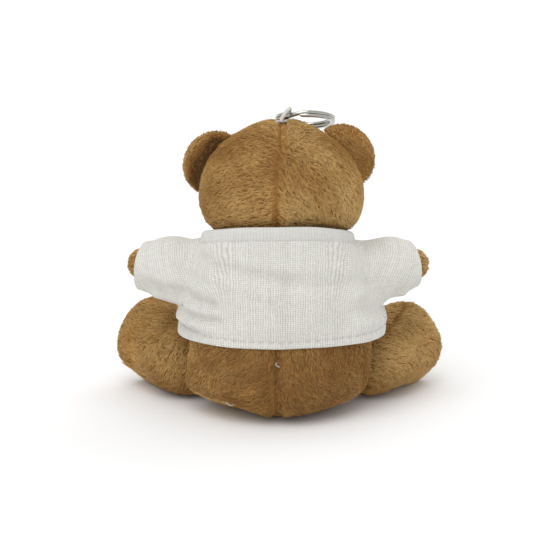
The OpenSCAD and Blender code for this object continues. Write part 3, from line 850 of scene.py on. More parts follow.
# ---------------- ears
def make_ear(side):
    t = np.linspace(-100, 100, 41)
    rho = np.linspace(0.0, 1, 15)
    tt, rr = grid(t, rho)
    a, b = EAR_OUT * cosd(tt) * rr, EAR_HALF * sind(tt) * rr
    out = np.array([cosd(EAR_LIFT), 0, sind(EAR_LIFT)])
    along = np.array([-sind(EAR_LIFT), 0, cosd(EAR_LIFT)])
    cup = 3.4 if side > 0 else 0.5
    bow = cup * (rr ** 2.5 - 0.45)
    centre = EAR_C + (np.array([0, 0, 0.5]) if side > 0 else np.array([-1.0, 0, 2.5]))
    plane = centre + out * a[..., None] + along * b[..., None]
    puff = 0.55 * np.sqrt(np.maximum(0, 1 - rr ** 2))
    y = np.array([0, 1.0, 0])
    name = SIDE_NAMES[side]

    def reach(p):
        """How far out points are: 1 at the ear's free edge."""
        return np.hypot((p - EAR_C) @ out / EAR_OUT, (p - EAR_C) @ along / EAR_HALF)

    for layer, sign in (("back", 1), ("front", -1)):
        depth = sign * (EAR_T * 0.75 * np.sqrt(np.maximum(0.0, 1 - rr ** 8)) + puff)
        skin = Skin(plane + y * (depth + bow)[..., None], closed=False,
                    outward=np.broadcast_to(y * sign, plane.shape))
        brush = along * (-1 if sign > 0 else 0.4) + out * 0.35
        cupped = side > 0 and sign > 0

        def flow(p, n, brush=brush):
            flat = np.stack([out, along])
            radial = unit((p - EAR_C) @ flat.T @ flat)
            at_edge = 0.8 * ease((reach(p)[:, None] - 0.9) / 0.1)
            return brushed(lambda q: mix(brush, radial, at_edge), 0.12, 0.06, 40)(p, n)

        def trim(p):
            return 1 - 0.45 * ease((reach(p) - 0.8) / 0.2)

        def pale(p):
            """Painted shade darkens the cup of the left ear, and its rim is pale."""
            rim = (0.45 if cupped else 0.2) * ease((reach(p) - 0.72) / 0.25)
            return rim - (0.6 * ease((0.72 - (p - EAR_C) @ out / EAR_OUT) / 0.35) if cupped else 0.0)

        plush_piece(f"ear_{layer}_{name}_plush", skin, flow, density=7.5, length=1.15, width=0.22,
                    lift=0.11, pale=pale, seed=50 + (sign > 0) * 2 + (side > 0),
                    node=f"ear_{layer}_{name}", body="head", material=PLUSH if sign > 0 else LIGHT_PLUSH,
                    thick=0.7, mirror=side < 0,
                    curl=0.05, trim=trim, floor=0.0)


make_ear(1)
make_ear(-1)


# ---------------- muzzle, nose and mouth
u, v = grid(np.arange(0, 360, 6), np.linspace(0, 90, 16))
x, z = MUZZLE_W * cosd(v) * cosd(u), MUZZLE_Z + MUZZLE_H * cosd(v) * sind(u)
muzzle = Skin(np.stack([x, muzzle_y(x, z), z], -1), outward=np.broadcast_to([0, -1.0, 0], x.shape + (3,)))


def muzzle_keep(p, n):
    """No pile under the nose."""
    high = p[:, 2] - NOSE_Z
    return 1.0 * ~((np.abs(p[:, 0]) < NOSE_W * (1 + 0.12 * high)) & (np.abs(high) < 2.6))


plush_piece("muzzle_plush", muzzle, brushed(lambda p: p - np.array([0, -27, MUZZLE_Z + 2]), 0.2, 0.3, 60),
            density=4.5, length=1.4, width=0.28, lift=0.26, seed=61, curl=0.08, keep=muzzle_keep,
            node=("muzzle_cover", "muzzle_stuffing"), body="head", material=LIGHT_PLUSH)


def make_nose():
    """Satin stitch: raised threads side by side over a rounded triangle."""
    threads = []
    for x0 in np.arange(-3.6, 3.61, 0.4):
        reach = math.sqrt(max(0.02, 1 - (x0 / NOSE_W) ** 2))
        low = NOSE_Z - NOSE_H * reach * (0.95 - 0.05 * abs(x0))
        z = np.linspace(low, NOSE_Z + NOSE_H * reach * 0.9, 15)
        s = np.linspace(-1, 1, 15)
        x1 = x0 * (1 + 0.10 * (z - NOSE_Z))
        y = muzzle_y(x1, z) - 0.1 - 1.25 * np.sqrt(np.maximum(0, 1 - s ** 2)) * mix(0.7, 1, reach)
        threads.append(tube(np.stack([x1, y, z], -1), 0.27, 8))
    ob = give(mesh_object("nose_satin", *merged(threads)), NOSE_THREAD)
    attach(ob, "head")
    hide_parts("nose")


def make_mouth():
    """Two-ply thread: a stitch down from the nose, and a wavy one across."""
    def ply(s, a):
        return 0.07 * np.abs(np.cos(a + s * TURN / 2.0)) - 0.04

    fork = MUZZLE_Z - 2.2
    k = np.linspace(-1, 1, 60)
    down = np.linspace(NOSE_Z - 2.4, fork + 0.2, 30)
    wave = fork - 1.3 * np.abs(np.sin(k * math.pi)) * (np.abs(k) + 0.5)
    threads = [tube(np.stack([x, muzzle_y(x, z) - 1.0, z], -1), 0.36, 12, ply)
               for x, z in ((0 * down, down), (3.75 * k, wave))]
    ob = give(mesh_object("mouth_thread", *merged(threads)), NOSE_THREAD)
    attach(ob, "head")
    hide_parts("mouth_stitch")


make_nose()
make_mouth()


# ---------------- torso
top = math.degrees(math.asin((NECK_Z - NECK_GAP - TORSO_C[2]) / TORSO["up"]))
torso_step = 3
torso_u = np.arange(0, 360, torso_step)
torso = Skin(egg(TORSO_C, TORSO, *grid(torso_u, np.linspace(-89, top, 56))))
torso.push(0.5)
lumps(torso, 14, 0.45, 70)


def seat_raised(p):
    """The seat's lower edge stands higher at the back, and most on the bear's left."""
    x, y, z = p[..., 0], p[..., 1], p[..., 2]
    low = ease((12 - z) / 12) * ease(y / 8)
    up = low * (0.9 + 2.5 * ease(x / 15) + 1.2 * ease((-x - 8) / 12))
    wide = 1 + 0.11 * ease((20 - z) / 12) * ease(x / 12) * ease(y / 8)
    return np.stack([x * wide, y, z + up], -1)


seat_z = 0.35
torso.p = seat_raised(torso.p)
torso.p[..., 2] = np.maximum(torso.p[..., 2], seat_z)
torso.renew()
puffed(torso, np.isin(torso_u, [0, 90, 180]), 0.8)
torso.p[..., 2] = np.maximum(torso.p[..., 2], seat_z)
crease(torso, np.where(torso.p[..., 1] > 0, torso.p[..., 0] - TORSO_SEAM_X, 99), 1.3, 1.2)


def torso_flow(p):
    """Brushed down and away from the seam, and more to the sides low on the seat."""
    side = np.clip(p[:, :1] / 6, -1, 1)
    low = ease((9 - p[:, 2:3]) / 8)
    d = np.concatenate([side * 0.9, 0 * side, -0.75 + 0.2 * side], 1)
    return mix(d, np.concatenate([side * 0.8, 0 * side - 0.2, -0.8 + 0 * side], 1), low)


def torso_pale(p):
    """Darker pile high on the seat, a paler band along its lower edge and an orange patch on the left."""
    band = 0.12 * ease((10 - p[:, 2]) / 6)
    patch = 0.4 * ease((p[:, 0] - 13) / 3) * ease((31 - p[:, 0]) / 4) * ease((9 - p[:, 2]) / 3)
    seam = 0.25 * np.exp(-((p[:, 0] - TORSO_SEAM_X) / 0.6) ** 2)
    return np.where(p[:, 1] > 0, -0.1 + band + patch - seam, -0.02)


def torso_keep(p, n):
    """No pile under the T-shirt, nor on the flat of the seat."""
    under_hem, under_neck = 29, 47
    bare_neck = p[:, 2] > under_neck + 8 * np.clip(p[:, 1] / 20, -0.4, 1)
    return (((p[:, 2] < under_hem) | bare_neck) & (p[:, 2] > 0.6)).astype(float)


def torso_trim(p):
    by_seam = mix(0.7, 1.0, ease(np.abs(p[:, 0] - TORSO_SEAM_X) / 2.0))
    return by_seam * mix(0.55, 1, ease(p[:, 2] / 5))


TORSO_PANELS = {"torso_back_left": (0, 90), "torso_back_right": (90, 180), "torso_front": (180, 360)}
for k, (name, (a, b)) in enumerate(TORSO_PANELS.items()):
    plush_piece(name + "_plush", torso, brushed(torso_flow, 0.4, 0.2, 80),
                (a // torso_step, b // torso_step), keep=torso_keep, trim=torso_trim, seed=90 + k,
                node=(name, "torso_stuffing"), pale=torso_pale,
                density=3.2 if name == "torso_front" else 4.2)

u, v = grid(np.arange(0, 360, 6), np.linspace(0.03, 1, 10))
seat_skin = Skin(seat_raised(np.stack([15 * v * cosd(u), 3 + 11 * v * sind(u), 0.18 + 0.12 * v ** 4], -1)),
                 outward=np.broadcast_to([0, 0, -1.0], u.shape + (3,)))
points, quads = shell(seat_skin, thick=0.8)
seat = give(mesh_object("seat_plush", points, quads, tone=np.full(len(points), 0.5)), PLUSH)
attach(seat, "torso")
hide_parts("seat_panel")


# ---------------- arms and legs
def make_arm(side):
    name = SIDE_NAMES[side]
    rows = np.concatenate([np.linspace(-60, 0, 8)[:-1], np.linspace(0, 88, 20)])
    arm_u = np.arange(-90, 270, 10)
    arm = Skin(arm_point(*grid(arm_u, rows)))
    arm.push(-0.25)
    puffed(arm, np.isin(arm_u, [-90, 90]), 0.4)
    if side < 0:
        arm.p = arm.p - ARM_AXIS * (1.6 * ease((arm.p - SHOULDER) @ ARM_AXIS / 18))[..., None]

    def keep(p, n):
        """No pile inside the sleeve."""
        sleeve_end = 11.5
        return ((p - SHOULDER) @ ARM_AXIS > sleeve_end).astype(float)

    def trim(p):
        """Shorter pile at the paw's tip."""
        return 1 - 0.35 * ease(((p - SHOULDER) @ ARM_AXIS - 18) / 3)

    for layer, (a, b) in (("back", (0, 18)), ("front", (18, 36))):
        plush_piece(f"arm_{layer}_{name}_plush", arm, brushed(ARM_AXIS + [0, 0, -0.2], 0.2, 0.15, 100),
                    (a, b), keep=keep, length=1.9, pale=0.3 if side > 0 else 0.42, trim=trim,
                    seed=101 + a + (side > 0), node=(f"arm_{layer}_{name}", "arm_stuffing_" + name),
                    body="arm_" + name, mirror=side < 0)


def make_leg(side):
    name = SIDE_NAMES[side]
    rows = np.concatenate([np.linspace(-88, 0, 16)[:-1], np.linspace(0, FOOT_END, 20)])
    leg_u = np.arange(-90, 270, 7.5)
    leg = Skin(leg_point(*grid(leg_u, rows)))
    leg.push(0.5)
    lumps(leg, 13, 0.5, 120 + side)
    outer_side = ease(((leg.p - HIP) @ LEG_ACROSS) / 9)
    leg.p[..., 2] += 3.8 * outer_side * ease((12 - leg.p[..., 2]) / 12)
    puffed(leg, np.isin(leg_u, [-90, 90]), 0.8)
    near_hip = 1 - ease(((leg.p - HIP) @ LEG_AXIS + 2) / 12)
    leg.push(1.8 * near_hip * ease(leg.n[..., 1] + 0.2) * ease(leg.p[..., 2] / 6))
    floor_z = 0.3
    leg.p[..., 2] = np.maximum(leg.p[..., 2], floor_z)
    leg.renew()
    dart = ((42.0, 33.5), (34.0, 24.0))
    top = ease((leg.p[..., 2] - 13) / 10)
    leg.p[..., 2] += (1.3 if side > 0 else -0.4) * top
    near_foot = ease(((leg.p - HIP) @ LEG_AXIS - 8) / 10)
    corner = np.exp(-(((leg.p[..., 2] - 17) / 7) ** 2)) * near_foot * outer_side
    leg.p = leg.p + LEG_ACROSS * ((1.4 if side < 0 else 0.8) * corner)[..., None]
    if side < 0:
        seen_crease(leg, *dart, 1.2, 1.7)
    flow = brushed(LEG_AXIS * 0.8 + [0.3, 0.1, -0.5], 0.5, 0.2, 130 + side)

    def from_torso(p):
        """Below 0 inside the torso, and 0 on its skin."""
        half_wide, half_deep = 26.5, 19
        return (p[:, 0] / half_wide) ** 2 + (p[:, 1] / half_deep) ** 2 - 1

    def keep(p, n):
        return (from_torso(p) >= 0).astype(float)

    def low_trim(p):
        return mix(0.3, 1, ease((p[:, 2] - floor_z) / 3.5))

    def trim(p):
        to_sole = LEG_LEN * sind(FOOT_END) - (p - HIP) @ LEG_AXIS
        return low_trim(p) * mix(0.35, 1, ease(to_sole / 4.5)) * mix(0.4, 1, ease(from_torso(p) / 0.3))

    def pale(p):
        """The right leg's dart is a dark line; painted light makes the thighs palest on top."""
        # Painted light: paler on the thighs' tops.
        top = 0.1 * ease((p[:, 2] - 12) / 10)
        line = np.exp(-(segment_distance(seen_at(p), *dart) / 0.7) ** 2) * (p[:, 2] > 14)
        return 0.13 + top if side > 0 else 0.33 + top - 0.6 * line

    for layer, (a, b) in (("outer", (0, 24)), ("inner", (24, 48))):
        plush_piece(f"leg_{layer}_{name}_plush", leg, flow, (a, b), keep=keep, trim=trim, pale=pale,
                    seed=140 + a + (side > 0), node=(f"leg_{layer}_{name}", "leg_stuffing_" + name),
                    body="leg_" + name, mirror=side < 0)

    rim = leg.p[-1]
    rr = np.linspace(0.03, 1, 14)[:, None, None]
    p = mix(rim.mean(0), rim[None], rr) + LEG_AXIS * (1.15 - 0.9 * rr ** 6)
    p[..., 2] = np.maximum(p[..., 2], floor_z)
    sole = Skin(p, outward=np.broadcast_to(LEG_AXIS, p.shape))
    plush_piece(f"foot_sole_{name}_plush", sole, brushed(-UP, 0.3, 0.15, 150), density=4, length=1.5,
                width=0.3, seed=151 + (side > 0), node=f"foot_sole_{name}", body="leg_" + name,
                material=LIGHT_PLUSH, thick=0.9, mirror=side < 0, trim=low_trim)


for side in (1, -1):
    make_arm(side)
    make_leg(side)


# ---------------- T-shirt
def shirt_round(line, u):
    depth = np.where(sind(u) >= 0, line["back"], line["front"])
    z = line["z"] + line["rise"] * sind(u)
    return np.stack([line["x"] + line["w"] * cosd(u), depth * sind(u), z], -1)


def shirt_point(u, k):
    k = k[..., None]
    low, middle, high = (shirt_round(line, u) for line in (HEM, CHEST, NECK))
    return (1 - k) ** 2 * low + 2 * k * (1 - k) * middle + k ** 2 * high


SLEEVE_ROOT = np.array([19.0, 0.0, 46.0])
CUFF = SHOULDER + ARM_AXIS * 16.2 + np.array([0, 0, 0.4])
ARMHOLE, ARMHOLE_WAY = np.array([31.5, -1, 47]), unit(np.array([1, 0, 0.4]))


def shirt_solid():
    """Body and sleeves as one smooth solid, a little longer than the shirt at each opening."""
    u, k = grid(np.arange(0, 360, 5), np.linspace(-0.12, 1.2, 34))
    parts = [closed_tube(shirt_point(u, k))]
    for side in (1, -1):
        t, k = grid(np.arange(0, 360, 10), np.linspace(-0.05, 1.12, 20))
        axis = SLEEVE_ROOT + (CUFF - SLEEVE_ROOT) * k[..., None]
        high = mix(12.6, 9.8, ease(k)) - (1.9 + 0.7 * (sind(t) > 0.2)) * ease((k - 0.68) / 0.36)
        deep = mix(12.0, 9.6, ease(k)) - 1.5 * ease((k - 0.72) / 0.36)
        if side < 0:
            high = high - 1.2 * np.exp(-((k - 0.34) / 0.16) ** 2) * (sind(t) > 0) * sind(t)
        rings = axis + ARM_ACROSS * (deep * cosd(t))[..., None] + UP * (high * sind(t))[..., None]
        ahead = np.minimum(0, (rings - axis) @ ARM_ACROSS)
        rings = rings + UP * (0.3 * ahead * (1 - ease(k)) * (sind(t) > 0))[..., None]
        p, faces = closed_tube(rings)
        parts.append((on_side(side, p), faces if side > 0 else turned_over(faces)))
    return mesh_object("shirt", *merged(parts))


def modified(ob, kind, **settings):
    """Adds a modifier of a kind and applies it."""
    m = ob.modifiers.new(kind, kind)
    for key, value in settings.items():
        setattr(m, key, value)
    dg = bpy.context.evaluated_depsgraph_get()
    made = bpy.data.meshes.new_from_object(ob.evaluated_get(dg))
    ob.modifiers.clear()
    ob.data = made
    return ob


def coordinates(ob):
    return vectors(ob.data, "co").astype(float) / MM


def normals_of(ob):
    return vectors(ob.data, "normal").astype(float)


def set_coordinates(ob, p):
    ob.data.vertices.foreach_set("co", (p * MM).astype(np.float32).ravel())
    ob.data.update()


def reshaped(ob, change):
    """Makes a change to the piece's mesh as a bmesh."""
    bm = bmesh.new()
    bm.from_mesh(ob.data)
    change(bm)
    bm.to_mesh(ob.data)
    bm.free()


def open_edge(bm):
    return {v for e in bm.edges if e.is_boundary for v in e.verts}


def cut(ob, point, normal):
    """Cuts off what lies beyond the plane, in mm."""
    reshaped(ob, lambda bm: bmesh.ops.bisect_plane(
        bm, geom=bm.verts[:] + bm.edges[:] + bm.faces[:], dist=1e-7,
        plane_co=Vector(point) * MM, plane_no=Vector(normal), clear_outer=True))


def open_neck(bm):
    """Opens the neck: what lies inside the neck band goes, and the edge is drawn onto the band's wall."""
    def by_wall(co):
        """A place's share of the way out to the band's inner wall, and its height over the neckline."""
        x, y, z = co / MM
        depth = NECK["back"] if y > 0 else NECK["front"]
        share = math.hypot((x - NECK["x"]) / (NECK["w"] - 0.3), y / (depth - 0.3))
        return share, z - (NECK["z"] + NECK["rise"] * y / depth)

    gone = [v for v in bm.verts if by_wall(v.co)[0] < 1 and by_wall(v.co)[1] > -1.5]
    bmesh.ops.delete(bm, geom=gone, context="VERTS")
    for v in open_edge(bm):
        share = by_wall(v.co)[0]
        v.co.x = (NECK["x"] + (v.co.x / MM - NECK["x"]) / share) * MM
        v.co.y = v.co.y / share


def relaxed(ob, p, share, rounds):
    """Moves each point towards the mean of its neighbours, by its share of the way, in each round."""
    edges = np.zeros(len(ob.data.edges) * 2, np.int32)
    ob.data.edges.foreach_get("vertices", edges)
    a, b = edges.reshape(-1, 2).T
    count = np.bincount(edges, minlength=len(p))[:, None]
    for _ in range(rounds):
        total = np.zeros_like(p)
        np.add.at(total, a, p[b])
        np.add.at(total, b, p[a])
        p = mix(p, total / count, share[:, None])
    return p


# Folds of the back: from (x, z), to (x, z), height, width; valleys are negative
BACK_FOLDS = [
    ((27, 57.8), (-4, 54.5), 1.4, 2.3), ((29, 55), (-3, 50.5), -1.7, 2.1), ((-4, 54), (-22, 52), 0.9, 2.6),
    ((-3, 50), (-24, 47.5), -0.9, 2.6), ((27, 51), (2, 46.5), 0.8, 2.2), ((44, 47.5), (26, 45), 1.1, 1.7),
    ((43, 43), (22, 41), -2, 1.5), ((41, 39.8), (24, 38), 1.4, 1.5), ((37, 36.4), (20, 35.8), -1.7, 1.4),
    ((37, 33.3), (25, 32.7), 1.6, 1.5), ((37, 30.5), (28, 31), -1.3, 1.3), ((37, 46), (45, 50), 0.7, 2.5),
    ((-30, 47), (-39, 38), -1.7, 1.8), ((-27, 44), (-35, 36.5), 1.1, 1.6), ((-28, 60), (-33, 50), -1.3, 2.6),
    ((-33, 35), (-25, 39), -1, 1.5), ((-34, 32), (-26, 34), 1, 1.6), ((12, 34), (-8, 35), 0.4, 3),
    ((-40, 52), (-44, 44), 0.8, 2.2), ((16, 46), (10, 38), 0.4, 3), ((-14, 44), (-18, 36), -0.5, 3),
]


def from_neck(p):
    """How far out points are from the middle of the neck: 1 at the neckline."""
    depth = np.where(p[:, 1] > 0, NECK["back"], NECK["front"])
    return np.hypot((p[:, 0] - NECK["x"]) / NECK["w"], p[:, 1] / depth)


def shirt_lift(p):
    """How far the folds and the stitched grooves lift each point of the shirt, in mm."""
    behind = ease((p[:, 1] + 4) / 8)
    lift = np.zeros(len(p))
    # The front has most of the back's folds too, mirrored and lower
    for folds, mirror, share in ((BACK_FOLDS, 1, behind), (BACK_FOLDS[3:], -1, 0.8 * (1 - behind))):
        for a, b, height, width in folds:
            far = segment_distance(p[:, [0, 2]] * [mirror, 1], a, b)
            lift += height * np.exp(-(far / width) ** 2) * share
    lift += 0.25 * waves(p * [1, 1, 0.6], 9, 200)
    for side, cuff_wide in ((1, 3.2), (-1, 4.8)):
        from_cuff = (on_side(side, CUFF) - p) @ on_side(side, ARM_AXIS)
        groove = -0.3 * np.exp(-((from_cuff - cuff_wide) / 0.45) ** 2)
        lift += np.where(p[:, 0] * side > 36, groove, 0)
    hem_groove = np.exp(-((p[:, 2] - HEM_LINE_Z) / 0.5) ** 2)
    lift += -0.35 * hem_groove + 0.25 * ease((HEM_LINE_Z - p[:, 2]) / 1.0)
    lift = lift * ease((from_neck(p) - 1.0) / 0.12)
    # The sleeves sink no farther than the arms under them
    sleeve = (np.abs(p[:, 0]) > 29) & (p[:, 2] > 39)
    lift = np.where(sleeve, np.maximum(lift, np.where(p[:, 0] > 0, -0.9, -0.3)), lift)
    flank = np.where(p[:, 0] > 0, np.exp(-((p[:, 2] - 40) / 7) ** 2), np.exp(-((p[:, 2] - 31) / 6) ** 2))
    return lift + 1.4 * flank * ease((np.abs(p[:, 0]) - 22) / 8) * ease((p[:, 1] + 12) / 6)


def make_shirt():
    ob = shirt_solid()
    modified(ob, "REMESH", mode="VOXEL", voxel_size=0.0011, use_smooth_shade=True)
    modified(ob, "SMOOTH", factor=0.5, iterations=10)
    reshaped(ob, open_neck)
    cut(ob, (0, 0, HEM["z"]), (0, HEM["rise"] / HEM["back"], -1))
    for side, short in ((1, 0), (-1, 1.8)):
        cut(ob, on_side(side, CUFF - ARM_AXIS * short), on_side(side, unit(ARM_AXIS + UP * 0.06)))
    p, n = coordinates(ob), normals_of(ob)
    armpit = ease(1.4 - np.hypot(np.abs(p[:, 0]) - 35, p[:, 2] - 38) / 4.5)
    by_band = ease((from_neck(p) - 1.02) / 0.05) * ease((1.32 - from_neck(p)) / 0.15) * (p[:, 2] > 50)
    p = relaxed(ob, p + n * shirt_lift(p)[:, None], 0.6 * np.maximum(armpit, by_band), 6)
    # Below the sleeves nothing stands out past the armholes' planes, which would cut it off
    most = ARMHOLE[0] + (ARMHOLE[2] - p[:, 2]) * ARMHOLE_WAY[2] / ARMHOLE_WAY[0] - 0.5
    past = (p[:, 2] < 35.5) & (np.abs(p[:, 0]) > most)
    p[past, 0] = np.sign(p[past, 0]) * most[past]
    set_coordinates(ob, p)
    split_shirt(ob)


def straight_edge(bm, point, normal):
    """Draws the edge of a cut back onto its plane."""
    for v in open_edge(bm):
        off = (np.array(v.co) / MM - point) @ normal
        if abs(off) < 0.8:
            v.co -= Vector(normal * off * MM)


def split_shirt(ob):
    """The body and the two sleeves, cut along the armholes, with the knit's own grid and its thickness.

    Each sleeve's edge goes 2 mm under the body's, so that the seam stays closed as the arm moves.
    """
    under = ARMHOLE - ARMHOLE_WAY * 2
    pieces = {}
    edges = {
        "shirt_body": [(on_side(s, ARMHOLE), on_side(s, ARMHOLE_WAY)) for s in (1, -1)],
        "sleeve_left_knit": [(under, -ARMHOLE_WAY)],
        "sleeve_right_knit": [(on_side(-1, under), on_side(-1, -ARMHOLE_WAY))],
    }
    for name, cuts in edges.items():
        piece = bpy.data.objects.new(name, ob.data.copy())
        piece.data.name = name
        scene.collection.objects.link(piece)
        for point, normal in cuts:
            cut(piece, point, normal)
        pieces[name] = piece
    bpy.data.objects.remove(ob)
    for name, piece in pieces.items():
        modified(piece, "SUBSURF", levels=1, subdivision_type="CATMULL_CLARK")
        for point, normal in edges[name]:
            reshaped(piece, lambda bm: straight_edge(bm, point, normal))
            if name != "shirt_body":
                p = coordinates(piece)
                deep = 0.3 * ease(((p - point) @ normal + 2.3) / 1.2)
                set_coordinates(piece, p - normals_of(piece) * deep[:, None])
        finish_knit(piece, 0 if name == "shirt_body" else (1 if "left" in name else -1))
        modified(piece, "SOLIDIFY", thickness=KNIT_T * MM, offset=-1, use_even_offset=False)
        give(piece, JERSEY)
        if name == "shirt_body":
            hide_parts("shirt_back", "shirt_front")
            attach(piece, "torso")
        else:
            side = "left" if "left" in name else "right"
            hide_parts("sleeve_" + side)
            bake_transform(piece)


def lay_knit(piece, across, up, stretch):
    """Writes the knit's grid, in mm: across the wales, and up along them."""
    uv = piece.data.uv_layers.new(name="knit")
    corner = np.zeros(len(piece.data.loops), np.int32)
    piece.data.loops.foreach_get("vertex_index", corner)
    uv.data.foreach_set("uv", np.stack([across, up], -1)[corner].astype(np.float32).ravel())
    layer = piece.data.attributes.new("stretch", "FLOAT", "POINT")
    layer.data.foreach_set("value", stretch.astype(np.float32))


def finish_knit(piece, side):
    """Lays the knit round the body, side 0, or along a sleeve, side 1 or -1."""
    p = coordinates(piece)
    if side == 0:
        angle = np.arctan2(p[:, 0], 1.15 * np.abs(p[:, 1]) + 1e-6)
        across = mix(p[:, 0], 30 * angle, ease((np.abs(p[:, 0]) - 18) / 14))
        tilt = ease((np.abs(p[:, 0]) - 14) / 16) * ease((p[:, 2] - 36) / 12)
        across = across - np.sign(p[:, 0]) * tilt * (p[:, 2] - 40) * 0.45
        up = p[:, 2]
        middle = np.exp(-(((p[:, 0] - 4) / 13) ** 2 + ((p[:, 2] - 41) / 7) ** 2))
        stretch = ease((p[:, 1] - 12) / 8) * middle
    else:
        q = p - on_side(side, SHOULDER)
        across = q @ on_side(side, ARM_AXIS) - 0.45 * (p[:, 2] - 48)
        up = 10 * np.arctan2(q[:, 2], q @ on_side(side, ARM_ACROSS))
        stretch = np.zeros(len(p))
    lay_knit(piece, across, up, stretch)


def make_collar():
    """The neck band: a folded rib with its columns standing up, tipped forward with the neckline."""
    columns, per = 150, 8
    u = np.arange(columns * per) * 360 / (columns * per)
    profile = np.array([
        [0.3, -1.6], [0.5, -0.9], [0.55, 0.2], [0.5, 1.2], [0.36, 2.0], [0.12, 2.75], [-0.35, 3.05],
        [-0.85, 2.7], [-1.1, 1.9], [-1.15, 0.9], [-1.1, -0.3], [-0.7, -1.2]])
    t, k = grid(u, np.arange(len(profile)))
    rib = 0.08 * np.cos(np.radians(t) * columns)
    depth = np.where(sind(t) >= 0, NECK["back"], NECK["front"])
    outward, upward = profile[k, 0], profile[k, 1]
    outer = ease((outward + 0.5) / 0.6)
    wave = 0.25 * np.sin(np.radians(t) * 3 + 1) + 0.15 * np.sin(np.radians(t) * 7)
    out = outward + rib * (0.25 + 0.75 * outer)
    p = np.stack([NECK["x"] + (NECK["w"] + out) * cosd(t), (depth + out) * sind(t),
                  NECK["z"] + NECK["rise"] * sind(t) + upward + wave * 0.5], -1)
    ob = mesh_object("collar_rib", p.reshape(-1, 3), wall_faces(*p.shape[:2], round_rows=True))
    across = np.radians(t) * columns * RIB_WALE / TURN
    lay_knit(ob, across.ravel(), k.ravel() * 0.5, np.zeros(k.size))
    give(ob, RIB_KNIT)
    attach(ob, "torso")
    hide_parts("shirt_collar")


make_shirt()
make_collar()


def on_surface(name, starts, ways):
    """Where rays from points, in mm, first meet a piece: points and normals."""
    ob = bpy.data.objects[name]
    points, normals = [], []
    for start, way in zip(starts, ways):
        hit, at, normal, _ = ob.ray_cast(Vector(start) * MM, Vector(way))
        if hit:
            points.append(np.array(at) / MM)
            normals.append(np.array(normal))
    return np.array(points), np.array(normals)


def make_hem_stitches():
    """Short threads that lie on the hem one after another, with each end sunk into the knit."""
    turns = np.arange(0, 360, 360 / 68)
    middle = shirt_round(HEM, turns)
    starts = np.stack([middle[:, 0] * 1.5, middle[:, 1] * 1.5, 30.5 + 0 * turns], -1)
    ways = unit(np.stack([-middle[:, 0], -middle[:, 1], 0 * turns], -1))
    at, n = on_surface("shirt_body", starts, ways)
    stitches = []
    length = 1.6
    for k in range(1, len(at) - 1):
        way = unit(at[k + 1] - at[k - 1])
        s = np.linspace(-0.5, 0.5, 9)
        route = at[k] + way * (s * length)[:, None] + n[k] * (0.16 * np.cos(s * 3.0) - 0.08)[:, None]
        stitches.append(tube(route, 0.21, 8))
    ob = give(mesh_object("hem_stitches", *merged(stitches)), SEWING_THREAD)
    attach(ob, "torso")


def make_thread_ends():
    """Loose ends of the sewing thread, at the hem's middle and under the seat's edge."""
    routes = {
        (1.2, 60, 22.8): [[0, 0, 0], [0.4, 0.4, -0.4], [0.1, 0.7, -0.8], [-0.5, 0.8, -1], [-0.8, 0.7, -1.4]],
        (14.5, 60, 6.6): [[0, 0, 0], [0.9, 0.5, 0.2], [1.9, 0.7, -0.1], [2.8, 0.6, 0.3], [3.4, 0.4, 0.9]]}
    ends = []
    for start, route in routes.items():
        at, _ = on_surface("torso_back_left_plush", [start], [(0, -1, 0)])
        ends += [tube(smooth_route(place + np.array(route), 30), 0.16, 8) for place in at]
    ob = give(mesh_object("thread_ends", *merged(ends)), SEWING_THREAD)
    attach(ob, "torso")


make_hem_stitches()
make_thread_ends()


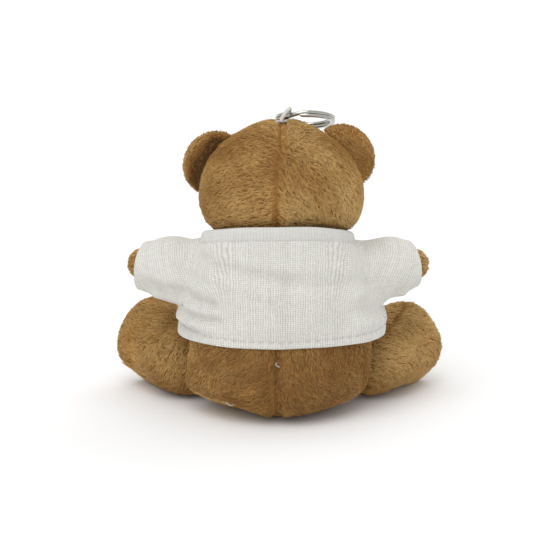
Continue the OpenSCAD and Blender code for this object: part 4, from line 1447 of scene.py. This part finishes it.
# ---------------- split ring
def make_ring():
    """Flat wire wound twice, one turn on the other, that crosses over between its two ends."""
    count = 500
    turns = np.radians(np.linspace(8, 712, count))
    z = mix(-COIL_T / 2, COIL_T / 2, ease((np.degrees(turns) - 330) / 60))
    middle = RING_OD / 2 - WIRE_W / 2
    w, h, edge = WIRE_W / 2, COIL_T / 2 - 0.02, 0.32
    corner = np.radians(np.arange(0, 91, 30))
    section = []
    for sx, sz, start in ((1, 1, 0), (-1, 1, 90), (-1, -1, 180), (1, -1, 270)):
        for c in corner:
            a = c + math.radians(start)
            section.append((sx * (w - edge) + edge * math.cos(a), sz * (h - edge) + edge * math.sin(a)))
    section = np.array(section)
    ends = np.minimum(1, np.minimum(np.arange(count), np.arange(count)[::-1]) / 6) ** 0.5
    radial = np.stack([np.cos(turns), np.sin(turns)], -1)
    r = middle + section[None, :, 0]
    zz = z[:, None] + section[None, :, 1] * mix(0.25, 1, ends)[:, None]
    p = np.stack([radial[:, :1] * r, radial[:, 1:] * r, zz], -1)
    tip = math.radians(RING_TIP)
    spin = np.array([[1, 0, 0], [0, math.cos(tip), -math.sin(tip)], [0, math.sin(tip), math.cos(tip)]])
    first = math.radians(70)
    about = np.array([[math.cos(first), -math.sin(first), 0],
                      [math.sin(first), math.cos(first), 0], [0, 0, 1]])
    p = p @ about.T @ spin.T + RING_C
    points, faces = closed_tube(p)
    ob = give(mesh_object("ring_wire", points, turned_over(faces)), NICKEL)
    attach(ob, "ring")
    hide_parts("split_ring")


make_ring()


# ---------------- CAD nodes that stay
KEPT = {"eye_left": EYE, "eye_right": EYE, "eye_washer_left": WASHER, "eye_washer_right": WASHER,
        "cord_knot": CORD_MATERIAL}
for name, material in KEPT.items():
    give(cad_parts[name], material)


# ---------------- floor and light
def make_stage():
    size = 3.0
    me = bpy.data.meshes.new("floor")
    corners = [(-size, -size, 0), (size, -size, 0), (size, size, 0), (-size, size, 0)]
    me.from_pydata(corners, [], [(0, 1, 2, 3)])
    floor = bpy.data.objects.new("floor", me)
    scene.collection.objects.link(floor)
    m = Nodes("floor_paper")
    m.link(m.ramp(m.noise(6, 2), [(0.3, (0.93, 0.93, 0.93)), (0.7, (0.95, 0.95, 0.95))]), "Base Color")
    m.set(Roughness=0.9, Specular_IOR_Level=0.1)
    give(floor, m.material)
    world = bpy.data.worlds.new("studio")
    world.use_nodes = True
    world.node_tree.nodes["Background"].inputs["Color"].default_value = (1, 1, 1, 1)
    world.node_tree.nodes["Background"].inputs["Strength"].default_value = 0.8
    scene.world = world
    for name, direction, strength, angle in (
            ("key", (-0.3, -0.7, -1.1), 1.1, 50), ("fill", (0.6, 0.8, -0.6), 0.45, 60)):
        lamp = bpy.data.objects.new(name, bpy.data.lights.new(name, "SUN"))
        lamp.data.energy = strength
        lamp.data.angle = math.radians(angle)
        lamp.rotation_euler = Vector(direction).to_track_quat("-Z", "Y").to_euler()
        scene.collection.objects.link(lamp)
    scene.view_settings.view_transform = "Standard"


make_stage()
